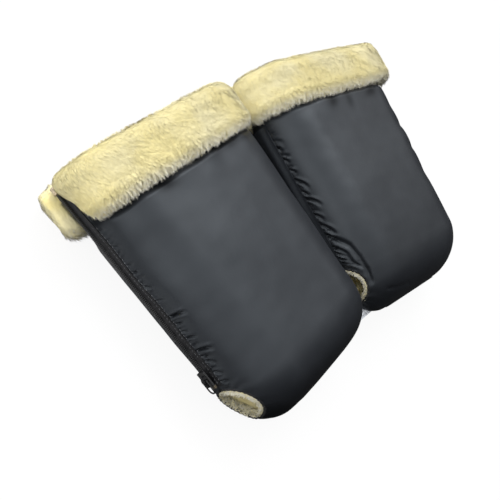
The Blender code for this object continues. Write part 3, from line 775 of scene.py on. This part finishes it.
def add_cuff(word, half):
    """The turned-out cuff, closed at both ends. Gives its grid, normals, insets and y."""
    grid, inset, y = cuff_grid(word, half)
    middle = grid.mean(axis=0, keepdims=True)
    for s, (reach, least) in zip(along_cuff(grid), CUFF_ENDS):
        grid = middle + (grid - middle) * (least + (1 - least) * quarter_round(s / reach))[..., None]
    normal = unit(np.cross(np.gradient(grid, axis=1), np.roll(grid, -1, 0) - np.roll(grid, 1, 0)))
    normal *= np.sign(np.sum(normal * (grid - middle))) or 1
    seed = 500 + 20 * SIDES[word] + half
    x, along, up = np.moveaxis(grid, -1, 0)
    clumps = 0.28 * MM * waves(seed, x, along + up, 0.032)
    clumps += 0.10 * MM * waves(seed + 1, x, along - up, 0.010)
    free = smooth(-inset, 1 * MM, 5 * MM) + smooth(y, SHELL_LENGTH, SHELL_LENGTH + 4 * MM)
    grid = grid + normal * (clumps * np.clip(free, 0, 1))[..., None]
    if half == BACK:
        grid[..., 2] = np.maximum(grid[..., 2], 0.3 * MM)
    name = f"{word}_{HALVES[half]}_cuff_plush"
    piece = add_piece(name, tube_mesh(name, grid), "backing", body_of(word, half),
                      (f"{word}_{HALVES[half]}_cuff",))
    return grid, normal, inset, y


# The pile. Each cuff's pile comes in parts: (from y, to y, number of fibres)
PILE_TOP, PILE_MIDDLE = SHELL_LENGTH + 20 * MM, SHELL_LENGTH - 16 * MM
PILE_PARTS = {FRONT: [(0, PILE_MIDDLE, 46000), (PILE_MIDDLE, PILE_TOP, 38000)],
              BACK: [(0, PILE_TOP, 50000)]}
# A cuff's fibre: its length, how far that varies, how much further at the low edge, and its width
PILE_LENGTH, PILE_VARIES, EDGE_VARIES, PILE_WIDTH = 5.2 * MM, 0.8 * MM, 2.6 * MM, 0.37 * MM
LINING_COUNT, LINING_LENGTHS_MM, LINING_WIDTH = 22000, (3.0, 5.0), 0.75 * MM
# The fringe at each slot: how many fibres, what share of their length a half shows, and where they stand
# from the slot's edge and in the wall
FRINGE_COUNT, FRINGE_SHARE = {BACK: 3000, FRONT: 5400}, {BACK: 0.6, FRONT: 1.0}
FRINGE_LENGTHS_MM, FRINGE_WIDTH = (3.4, 7.4), 0.5 * MM
FRINGE_REACH_MM, FRINGE_DEPTH_MM = (-1.9, -0.3), (1.5, 8.0)
# A blade's points, by how near to the tip its colour takes each of them to be
BLADE_SHARES = (0, 0, 0.55, 0.55, 1)
PILE_FLOOR = 0.2 * MM


def scatter(rng, points, weight, count):
    """Random spots on a grid, by area and weight: row and column numbers, and fractions of a cell."""
    a = points[1:, :-1] - points[:-1, :-1]
    b = points[:-1, 1:] - points[:-1, :-1]
    area = np.linalg.norm(np.cross(a, b), axis=-1) * weight[:-1, :-1]
    cell = rng.choice(area.size, count, p=(area / area.sum()).ravel())
    return *np.divmod(cell, area.shape[1]), *rng.random((2, count))


def at_spots(values, spots):
    j, i, u, v = spots
    if values.ndim == 3:
        u, v = u[:, None], v[:, None]
    return ((1 - v) * ((1 - u) * values[j, i] + u * values[j, i + 1])
            + v * ((1 - u) * values[j + 1, i] + u * values[j + 1, i + 1]))


def nearest(points, centres, batch=4000):
    """The number of the nearest centre to each point."""
    found = np.empty(len(points), int)
    for start in range(0, len(points), batch):
        part = points[start:start + batch]
        gap = (part**2).sum(1)[:, None] - 2 * part @ centres.T + (centres**2).sum(1)[None]
        found[start:start + batch] = gap.argmin(1)
    return found


def add_pile(name, body, rng, roots, normals, lean, lengths, width, clump, unrest, edge=0.0, facing=None):
    """Tapered fibres in soft clumps: each is a bent blade of three triangles.

    Clump is the share of fibres that lead a clump. Unrest, 0 to 1, sets how far the clumps stray and close.
    """
    count, size = len(roots), len(BLADE_SHARES)
    leaders = rng.choice(count, max(int(count * clump), 8), replace=False)
    own = leaders[nearest(roots, roots[leaders])]
    unrest = np.broadcast_to(np.asarray(unrest, float), count)[:, None]
    wander, stray = rng.normal(0, 1, (count, 3)), rng.normal(0, 1, (count, 3))
    loose = wander[own] * (0.04 + 0.22 * unrest) + stray * (0.03 + 0.14 * unrest)
    heading = unit(normals * 0.42 + lean + loose)
    tip = roots + heading * lengths[:, None]
    tip = tip + (tip[own] - tip) * (0.03 + 0.65 * unrest) * rng.uniform(0.3, 1.0, (count, 1))
    middle = (roots + tip) / 2 + normals * (lengths * 0.12)[:, None]
    across = unit(np.cross(tip - roots, normals) + rng.normal(0, 0.2, (count, 3)) * lengths[:, None])
    root_out = across * width * rng.uniform(0.7, 1.3, (count, 1)) / 2
    middle_out = root_out * 0.84
    verts = np.stack([roots - root_out, roots + root_out, middle - middle_out, middle + middle_out, tip], 1)
    verts[..., 2] = np.maximum(verts[..., 2], PILE_FLOOR)
    base = (np.arange(count) * size)[:, None]
    faces = np.concatenate([base + [0, 1, 3], base + [0, 3, 2], base + [2, 3, 4]])
    mesh = fill_mesh(name, verts.reshape(-1, 3), faces)
    store(mesh, "tip", np.tile(BLADE_SHARES, count))
    store(mesh, "tone", np.repeat(rng.random(count), size))
    store(mesh, "edge", np.repeat(np.broadcast_to(edge, count), size))
    facing = unit((normals if facing is None else facing) + 0.35 * heading)
    store(mesh, "facing", np.repeat(facing, size, axis=0), "FLOAT_VECTOR", "vector")
    add_piece(name, mesh, "pile", body, smooth_shading=False, weld=False)


def add_cuff_pile(word, half, grid, normal, inset, y):
    """The pile of a cuff, combed from inside the mouth over the crest and down its outside."""
    side = SIDES[word]
    comb = -unit(np.roll(grid, -1, 0) - np.roll(grid, 1, 0))
    across = np.gradient(grid, axis=1)
    s_in, s_out = along_cuff(grid)
    outside = smooth(-inset, 1.5 * MM, 4 * MM)
    crest = smooth(y, SHELL_LENGTH - 2 * MM, SHELL_LENGTH + 3 * MM)
    weight = np.clip(outside + crest, 0, 1)
    if half == BACK:
        weight = weight * smooth(s_out, 1.5 * MM, 3.5 * MM)
    for part, (low, high, count) in enumerate(PILE_PARTS[half]):
        rng = np.random.default_rng(7000 + 100 * side + 10 * half + part)
        spots = scatter(rng, grid, weight * (y >= low) * (y < high), count)
        roots, normals, combed = (at_spots(values, spots) for values in (grid, normal, comb))
        normals, combed = unit(normals), unit(combed)
        root_y = at_spots(y, spots)
        near_end = falling(at_spots(np.minimum(s_in, s_out), spots), 0, 9 * MM)
        near_zip = falling(at_spots(s_out, spots), 0, 11 * MM)
        low_edge = falling(root_y, CUFF_Y + 2 * MM, CUFF_Y + 16 * MM)
        on_crest = smooth(root_y, SHELL_LENGTH - 7 * MM, SHELL_LENGTH + 1 * MM)
        past = smooth(at_spots(inset, spots), -4 * MM, -0.5 * MM)
        sway = 0.22 * waves(7 + side, roots[:, 0], roots[:, 1], 0.045)
        lean = combed * ((1.0 + 0.2 * low_edge) * (1 - 1.7 * past))[:, None] + sway[:, None] * ACROSS
        lean = lean - (0.30 * on_crest * (1 - 4 * past * (1 - past)))[:, None] * normals
        lean = lean - 0.25 * near_zip[:, None] * unit(at_spots(across, spots))
        lengths = PILE_LENGTH + rng.uniform(-1, 1, count) * (PILE_VARIES + EDGE_VARIES * low_edge)
        lengths *= (1 - 0.45 * near_end) * (1 - 0.45 * on_crest) * (1 - 0.25 * near_zip)
        lengths *= 1 + 0.06 * waves(8, roots[:, 0], roots[:, 1] + roots[:, 2], 0.012)
        widths = PILE_WIDTH * (1 - 0.3 * low_edge[:, None])
        add_pile(f"{word}_{HALVES[half]}_cuff_pile_{part + 1}", body_of(word, half), rng, roots, normals,
                 lean, lengths, widths, 0.075, 0.06 + 0.88 * low_edge, low_edge,
                 normals + 0.6 * max(half, 0) * UP)


def add_lining_pile(word, half, inner):
    """The short nap of the lining."""
    rng = np.random.default_rng(8000 + 100 * SIDES[word] + half)
    by_slot = smooth(slot_height(LINING_ROWS), 0, 1 * MM)
    weight = 1 - by_slot * falling(np.minimum(*along_columns(inner)), 2 * MM, 7 * MM)
    spots = scatter(rng, inner, weight, LINING_COUNT)
    roots = at_spots(inner, spots)
    facing = unit(at_spots(grid_normals(inner, -half * UP), spots))
    lean = 0.55 * ALONG + 0.35 * waves(17, roots[:, 0], roots[:, 1], 0.05)[:, None] * ACROSS
    add_pile(f"{word}_{HALVES[half]}_lining_pile", body_of(word, half), rng, roots, facing, lean,
             rng.uniform(*LINING_LENGTHS_MM, LINING_COUNT) * MM, LINING_WIDTH, 0.08, 0.6)


def add_slot_fringe(word, half):
    """Plush that shows at the edge of both bar slots, inside the binding."""
    rng = np.random.default_rng(8500 + 100 * SIDES[word] + half)
    count = FRINGE_COUNT[half]
    found = []
    for edge in (INNER, OUTER):
        turn = rng.uniform(0.10, math.pi - 0.10, count)
        y, height = round_slot(SLOT_RADIUS + rng.uniform(*FRINGE_REACH_MM, count) * MM, turn)
        inset = rng.uniform(*FRINGE_DEPTH_MM, count) * MM
        root = on_wall(word, half, edge, y, height, inset)
        centre = on_wall(word, half, edge, SLOT_Y + 0 * y, 0 * y, inset)
        outward = unit(on_wall(word, half, edge, y, height, inset - 3 * MM) - root)
        found.append((root, unit(centre - root), outward * rng.uniform(0.2, 1.3, (count, 1)), outward))
    roots, normals, leans, outward = (np.concatenate(values) for values in zip(*found))
    lengths = rng.uniform(*FRINGE_LENGTHS_MM, len(roots)) * MM * FRINGE_SHARE[half]
    add_pile(f"{word}_{HALVES[half]}_slot_fringe", body_of(word, half), rng, roots, normals, leans, lengths,
             FRINGE_WIDTH, 0.06, 0.6, 1.0, outward)


# The bindings round the slots: how far in from the slot's edge, their half thickness, where they end as
# an angle, and how deep under the nylon they are set
BINDING_IN, BINDING_RADIUS, BINDING_END, BINDING_DEPTH = 0.7 * MM, 1.45 * MM, 0.075, 1.0 * MM


def ring_tube(name, path, radius, sides=12):
    """A closed tube along a path, with one radius per point."""
    along = unit(np.gradient(path, axis=0))
    flat = unit(np.cross(along, path - path.mean(0)))
    turn = np.linspace(0, 2 * math.pi, sides, endpoint=False)[:, None, None]
    ring = flat * np.cos(turn) + np.cross(along, flat) * np.sin(turn)
    return tube_mesh(name, path + ring * radius[:, None])


def add_binding(word, half, edge):
    """The gathered binding round one half of a bar slot."""
    edge_word = "outer" if edge == OUTER else "inner"
    turn = np.linspace(BINDING_END, math.pi - BINDING_END, 90)
    path = on_wall(word, half, edge, *round_slot(SLOT_RADIUS - BINDING_IN, turn), BINDING_DEPTH)
    radius = BINDING_RADIUS * (1 + 0.13 * np.cos(turn * 30 + SIDES[word]) + 0.05 * np.cos(turn * 47))
    stem = f"{word}_{HALVES[half]}_{edge_word}"
    add_piece(f"{stem}_binding", ring_tube(f"{stem}_binding", path, radius), "binding", body_of(word, half),
              (f"{stem}_slot_binding",))


# The zip tape's two faces, as heights over the side wall
TAPE_FACES = (1.12 * MM, 0.42 * MM)
# A tooth's outline: (outward, share of its width). Its length is a share of the pitch. The teeth keep a
# gap from the stop and the box, and reach a little over the seam
TOOTH_OUTLINE = np.array([(TEETH_IN, 0.10), (TEETH_OUT - 0.3 * MM, 0.0), (TEETH_OUT, 0.18),
                          (TEETH_OUT, 0.85), (TEETH_OUT - 0.4 * MM, 1.0), (TEETH_IN, 1.0)])
TOOTH_SHARE, TEETH_GAP, TEETH_OVER = 0.42, 0.3 * MM, 0.35 * MM


def add_tape(word, half):
    """Half of the zip tape, which hugs the side wall and follows its waves."""
    y = np.append(np.arange(ZIP_FOOT, SHELL_LENGTH, 1.5 * MM), SHELL_LENGTH)[:, None]
    height = np.linspace(0.15 * MM, TAPE_WIDTH, 15)[None, :]
    uneven = 0.12 * MM + 0.16 * MM * falling(y, 0.09, 0.17)
    drawn = seam_wave(word, y) * smooth(height, 1 * MM, 4 * MM)
    drawn = drawn + uneven * waves(40 + half, y, 1.6 * height, 0.0085)
    faces = (on_wall(word, half, OUTER, y, height, -(off + drawn)) for off in TAPE_FACES)
    name = f"{word}_zip_tape_{HALVES[half]}_woven"
    add_piece(name, between(name, *faces), "tape", body_of(word, half),
              (f"{word}_zip_tape_{HALVES[half]}",))


def add_teeth(word, half):
    """A row of moulded teeth along the seam, half a pitch from the other row."""
    start = ZIP_FOOT + STOP_LENGTH + TEETH_GAP + (TOOTH_PITCH / 2 if half == FRONT else 0)
    end = SHELL_LENGTH / math.cos(TAPER) - BOX_LENGTH - TEETH_GAP
    at = np.arange(start, end - TOOTH_PITCH * 0.45, TOOTH_PITCH)[:, None, None]
    out, share = TOOTH_OUTLINE.T
    z = half * (share * (TEETH_WIDTH + TEETH_OVER) - TEETH_OVER)
    verts = on_seam_line(word, OUTER, out, at + np.array([[0], [TOOTH_PITCH * TOOTH_SHARE]]), z)
    size = len(TOOTH_OUTLINE)
    faces = []
    for k in range(size):
        n = (k + 1) % size
        faces += [(k, n, size + n), (k, size + n, size + k)]
    for k in range(1, size - 1):
        faces += [(0, k, k + 1), (size, size + k + 1, size + k)]
    faces = (np.arange(len(at)) * 2 * size)[:, None, None] + np.array(faces)
    name = f"{word}_zip_teeth_{HALVES[half]}_row"
    add_piece(name, fill_mesh(name, verts.reshape(-1, 3), faces.reshape(-1, 3)), "teeth",
              body_of(word, half), (f"{word}_zip_teeth_{HALVES[half]}",))


# Hook and loop: each strip's two faces outward from the seam, its z from the seam, its margin at both
# ends, and how rough its face is
STRIP_OUT = {"loop": (0.3 * MM, 1.2 * MM), "hook": (1.5 * MM, 2.4 * MM)}
STRIP_Z, STRIP_MARGIN, STRIP_ROUGH = (-12.5 * MM, -1.5 * MM), 1.5 * MM, 0.12 * MM
# The placket stands off the wall by the first height at its top, and by both over the seam
PLACKET_STAND, PLACKET_LIFT, PLACKET_THICK, PLACKET_RIPPLE = 0.5 * MM, 2.3 * MM, 0.8 * MM, 0.25 * MM


def add_fastener_strip(word, kind, half):
    """A strip of hook or loop tape on the inner seam, with a rough face."""
    low, high = STRIP_OUT[kind]
    along = np.arange(ZIP_FOOT + STRIP_MARGIN, PLACKET_END - STRIP_MARGIN, 0.8 * MM)[:, None]
    share = np.linspace(0, 1, 15)[None, :]
    z = STRIP_Z[0] + (STRIP_Z[1] - STRIP_Z[0]) * share
    rough = STRIP_ROUGH * waves(60, along, z, 0.0022) * np.sin(math.pi * share)
    outer = on_seam_line(word, INNER, high - 0.1 * MM + rough, along, z)
    inner = on_seam_line(word, INNER, low + 0 * rough, along, z)
    name = f"{word}_{kind}_strip_tape"
    add_piece(name, between(name, outer, inner), "hook", body_of(word, half), (f"{word}_{kind}_strip",))


def add_placket(word):
    """The flap of nylon over the inner seam, hanging from the front half."""
    along = np.arange(ZIP_FOOT, PLACKET_END, 1.6 * MM)[:, None]
    z = PLACKET_RISE - (PLACKET_RISE + PLACKET_LAP) * np.linspace(0, 1, 26)[None, :]
    x, y, _ = on_side(FRONT, INNER, along, np.maximum(z, 0), 0.0)
    stand = PLACKET_STAND + PLACKET_LIFT * smooth(PLACKET_RISE - z, 1 * MM, PLACKET_RISE - 1 * MM)
    ripple = PLACKET_RIPPLE * (waves(70 + SIDES[word], along, z, 0.016) - 1)
    hem = 0.15 * MM * bell((z + PLACKET_LAP - 2.5 * MM) / (0.7 * MM))
    under = x - stand
    top = under - PLACKET_THICK + hem - np.minimum(ripple, 0) * 0.4
    name = f"{word}_placket_flap"
    faces = (world(word, x, y, SEAM_Z + z) for x in (top, under))
    add_piece(name, between(name, *faces), "nylon", body_of(word, FRONT), (f"{word}_placket",))


# Stitches: from one to the next, and their length and thickness
STITCH_PITCH, STITCH_LENGTH, STITCH_THICK = 3.4 * MM, 2.5 * MM, 0.6 * MM
# The rows of stitches: from the outer edge, from the inner edge, and from the seam on the zip tape
HEM_ROW, INNER_ROW, TAPE_ROW, TAPE_STITCH_THICK = 8.4 * MM, 11.4 * MM, 5.3 * MM, 0.45 * MM
STITCH_FACES = np.array([(0, 1, 2), (0, 2, 3), (0, 3, 4), (0, 4, 1),
                         (5, 2, 1), (5, 3, 2), (5, 4, 3), (5, 1, 4)])


def add_stitches(name, path, outward, body, look="thread", thick=STITCH_THICK):
    """A row of plump stitches along a path, lifted just clear of what it is sewn to."""
    run = running(path)
    starts = np.arange(0, run[-1] - STITCH_LENGTH, STITCH_PITCH)
    first, last = sampled(starts, run, path), sampled(starts + STITCH_LENGTH, run, path)
    up = unit(sampled(starts, run, outward))
    middle = (first + last) / 2 + up * thick * 0.35
    across = unit(np.cross(last - first, up)) * thick / 2
    lift = up * thick / 2
    verts = np.stack([first, middle - across, middle + lift, middle + across, middle - lift, last], 1)
    faces = (np.arange(len(starts)) * 6)[:, None, None] + STITCH_FACES
    add_piece(name, fill_mesh(name, verts.reshape(-1, 3), faces.reshape(-1, 3)), look, body, weld=False)


def line_on_shell(grid, s, target, rows):
    """The path and outward directions where a shell's distance from its edge equals the target."""
    normals = grid_normals(grid, grid - grid.mean(axis=(0, 1)))
    found = []
    for j in rows:
        order = np.argsort(s[j])
        found.append(sampled(target, s[j][order], np.hstack([grid[j, order], normals[j, order]])))
    path, outward = np.split(np.array(found), 2, axis=1)
    return path + outward * 0.05 * MM, outward


def shell_stitches(word, half, grid, s_in, s_out):
    """The rows that hold down the hem beside the zip, and the one beside the inner seam."""
    y = SHELL_ROWS[:, 0]
    rows = np.nonzero((y > ZIP_FOOT + 1 * MM) & (y < CUFF_Y - 1 * MM))[0]
    body = body_of(word, half)
    hem = line_on_shell(grid, s_out, HEM_ROW, rows)
    add_stitches(f"{word}_{HALVES[half]}_hem_stitches", *hem, body)
    if half == FRONT:
        inner_hem = line_on_shell(grid, s_in, INNER_ROW, rows)
        add_stitches(f"{word}_inner_hem_stitches", *inner_hem, body, "tape")


def tape_stitches(word, half):
    y = np.arange(ZIP_FOOT + 2 * MM, CUFF_Y, 1 * MM)
    path, above = (on_wall(word, half, OUTER, y, TAPE_ROW, -(stand + seam_wave(word, y)))
                   for stand in (1.2 * MM, 3 * MM))
    add_stitches(f"{word}_{HALVES[half]}_tape_stitches", path, above - path, body_of(word, half),
                 thick=TAPE_STITCH_THICK)


# The strip round the foot: how far it reaches from the seam, its margin at both sides, its outer and inner
# height over the nylon, and how far from the hinge's line it bends with both halves
FOLD_REACH, FOLD_MARGIN, FOLD_STANDS, FOLD_BLEND = 8.5 * MM, 5 * MM, (0.75 * MM, 0.12 * MM), 8 * MM


def add_foot_fold(word):
    """The strip of nylon round the foot, from the back half to the front."""
    inner, outer = side_lines(np.array(0.0), 0.0)
    share = np.linspace(0, 1, 90)[None, :]
    x = inner + FOLD_MARGIN + (outer - inner - 2 * FOLD_MARGIN) * share
    run = np.linspace(-1, 1, 25)[:, None]
    height = np.abs(run) * FOLD_REACH * np.sqrt(np.clip(1 - np.abs(2 * share - 1) ** 6, 0.02, 1))
    deep = np.where(run < 0, DEPTH[BACK], DEPTH[FRONT])
    angle = np.arcsin(np.clip(height / deep, 0, 1))
    least = min(FOLD_STANDS)
    layers = []
    for stand in FOLD_STANDS:
        taper = least + (stand - least) * np.sqrt(np.clip(1 - np.abs(run) ** 4, 0, 1))
        y = FOOT_ROLL * (1 - np.cos(angle)) - taper * np.cos(angle)
        layers.append(place(word, np.sign(run), x, y, height))
    name = f"{word}_foot_fold"
    piece = add_piece(name, between(name, *layers), "nylon")
    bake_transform(piece)


# The tab: its thickness, how far it sags, its ribs, and its threads as radians to half its width
TAB_THICK, TAB_SAG = 1.3 * MM, 0.5 * MM
TAB_RIBS, RIB_RISE, TAB_THREADS, THREAD_RISE = 9, 0.13 * MM, 90, 0.05 * MM


def add_joining_tab():
    """A short piece of grey webbing between the two feet, as wide and long as its solid."""
    corners = np.array([v.co for v in FRAME["nodes"]["joining_tab"].data.vertices])
    top = corners[:, 2].max()
    right = corners[(np.abs(corners[:, 2] - top) < 0.01 * MM) & (corners[:, 0] > 0)]
    near, far = right[right[:, 1].argmin()], right[right[:, 1].argmax()]
    share = np.linspace(0, 1, 25)[:, None]
    across = np.linspace(-1, 1, 61)[None, :]
    x = (near[0] + (far[0] - near[0]) * share) * across
    y = near[1] + (far[1] - near[1]) * share + 0 * across
    woven = RIB_RISE * np.cos(share * 2 * math.pi * TAB_RIBS) + THREAD_RISE * np.cos(across * TAB_THREADS)
    plain = top - TAB_SAG * (1 - across**2)
    faces = (np.stack([x, y, z], -1) for z in (plain + woven, plain - TAB_THICK - woven))
    add_piece("joining_tab_webbing", between("joining_tab_webbing", *faces), "tab", "back_halves",
              ("joining_tab",))


# The stage. The sky is brightest toward its top, and the floor gives light back like a card. Each goes,
# from the first distance along a heading to the second, from the third brightness to the fourth
SKY_TOP, DOME = (0.05, 0.62, 1.0), (0.18, 0.76, 0.04, 1.26)
BOUNCE_TOWARD, BOUNCE = (-0.75, 0.66, 0.0), (0.06, 0.22, 0.04, 0.85)
FLOOR_REACH, FLOOR_Z, FLOOR_TONE, FLOOR_GLOW = 6, -0.2 * MM, 0.9, 0.91
# Lamps: (name, place, what it aims at, size, power)
LAMPS = [("softbox", (0.50, 0.70, 1.35), (0, 0, 0.04), (1.0, 1.0), 12.0),
         ("front", (-1.5, 0.3, 1.0), (0, 0, 0.06), (1.4, 1.4), 9.0),
         ("back", (-0.1, 1.1, 0.35), (0, 0.12, 0.06), (1.6, 0.5), 4.0)]
LENS, SENSOR, CLIP_START = 48.27, 36, 0.01
CAMERA_AT, CAMERA_TURN = (-0.4987, -0.00405, 0.5201), (24.212, -34.072, -39.606)


def seen_rays(tree):
    """1 where the camera itself looks, otherwise 0."""
    return node(tree, "ShaderNodeLightPath", output="Is Camera Ray")


def along_heading(tree, kind, heading):
    return node(tree, "ShaderNodeVectorMath", {0: coordinates(tree, kind), 1: heading}, "Value",
                operation="DOT_PRODUCT")


def add_sky():
    """White where the camera looks, otherwise a soft dome."""
    studio = bpy.data.worlds.new("studio")
    bpy.context.scene.world = studio
    studio.use_nodes = True
    tree = studio.node_tree
    background = tree.nodes["Background"].inputs
    dome = mapped(tree, along_heading(tree, "Generated", SKY_TOP), *DOME, "SMOOTHSTEP")
    inputs = {0: seen_rays(tree), NUMBER_A: dome, NUMBER_B: 1.0}
    feed(tree, background["Color"], (1, 1, 1))
    feed(tree, background["Strength"], node(tree, "ShaderNodeMix", inputs, data_type="FLOAT"))


def add_floor():
    """A floor that looks white, and keeps the object's shadow."""
    corners = np.array([(-1, -1, 0), (1, -1, 0), (1, 1, 0), (-1, 1, 0)]) * FLOOR_REACH
    mesh = fill_mesh("floor", corners, np.array([[0, 1, 2, 3]]))
    floor = link("floor", mesh)
    floor.location.z = FLOOR_Z
    made, tree, shader = shaded("floor_white", (FLOOR_TONE,) * 3, 0.9, specular=0.0)
    card = mapped(tree, along_heading(tree, "Object", BOUNCE_TOWARD), *BOUNCE)
    dress(tree, shader, mapped(tree, seen_rays(tree), 0, 1, card, FLOOR_TONE))
    share = mapped(tree, seen_rays(tree), 0, 1, 0, FLOOR_GLOW)
    glow = node(tree, "ShaderNodeEmission", {"Strength": 1.0})
    mixed = node(tree, "ShaderNodeMixShader", {0: share, 1: shader.outputs["BSDF"], 2: glow})
    feed(tree, tree.nodes["Material Output"].inputs["Surface"], mixed)
    mesh.materials.append(made)


def add_lamps():
    for name, where, aim, size, power in LAMPS:
        lamp = bpy.data.lights.new(name, "AREA")
        lamp.shape = "RECTANGLE"
        lamp.size, lamp.size_y = size
        lamp.energy = power
        made = link(name, lamp)
        made.location = where
        made.rotation_euler = (Vector(aim) - Vector(where)).to_track_quat("-Z", "Y").to_euler()


def add_camera():
    camera = bpy.data.cameras.new("camera")
    camera.lens, camera.sensor_width = LENS, SENSOR
    camera.clip_start = CLIP_START
    made = link("camera", camera)
    made.location = CAMERA_AT
    made.rotation_euler = [math.radians(a) for a in CAMERA_TURN]
    bpy.context.scene.camera = made
    bpy.context.scene.view_settings.view_transform = "Standard"


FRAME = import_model()
LOOKS = {"nylon": nylon_material(), "backing": plush_material(), "pile": pile_material(),
         "tape": tape_material("zip_tape", (0.007, 0.007, 0.008), roughness=0.55),
         "binding": tape_material("slot_binding", (0.013, 0.013, 0.014), 1.2 * MM),
         "teeth": metal_material("zip_teeth", (0.012, 0.012, 0.013), 0.32, 0.0),
         "hook": hook_material(), "metal": metal_material("zip_metal", (0.50, 0.42, 0.30), 0.30, 1.0),
         "enamel": metal_material("zip_enamel", (0.018, 0.018, 0.019), 0.25, 0.3),
         "tab": tape_material("grey_webbing", (0.46, 0.48, 0.51), 1.0 * MM),
         "thread": tape_material("thread", (0.10, 0.104, 0.11), 0.5 * MM)}
for word in SIDES:
    for half in (BACK, FRONT):
        shell = add_shell(word, half)
        add_lining_pile(word, half, add_lining(word, half))
        add_cuff_pile(word, half, *add_cuff(word, half))
        add_binding(word, half, INNER)
        add_binding(word, half, OUTER)
        add_tape(word, half)
        add_teeth(word, half)
        shell_stitches(word, half, *shell)
        tape_stitches(word, half)
        add_slot_fringe(word, half)
    add_fastener_strip(word, "loop", BACK)
    add_fastener_strip(word, "hook", FRONT)
    add_placket(word)
    add_foot_fold(word)
    for name, look in {"zip_stop_back": "metal", "zip_stop_front": "metal", "zip_box": "metal",
                       "zip_pin": "metal", "zip_slider": "enamel", "zip_pull": "enamel"}.items():
        FRAME["nodes"][f"{word}_{name}"].data.materials[0] = LOOKS[look]
add_joining_tab()
add_sky()
add_floor()
add_lamps()
add_camera()
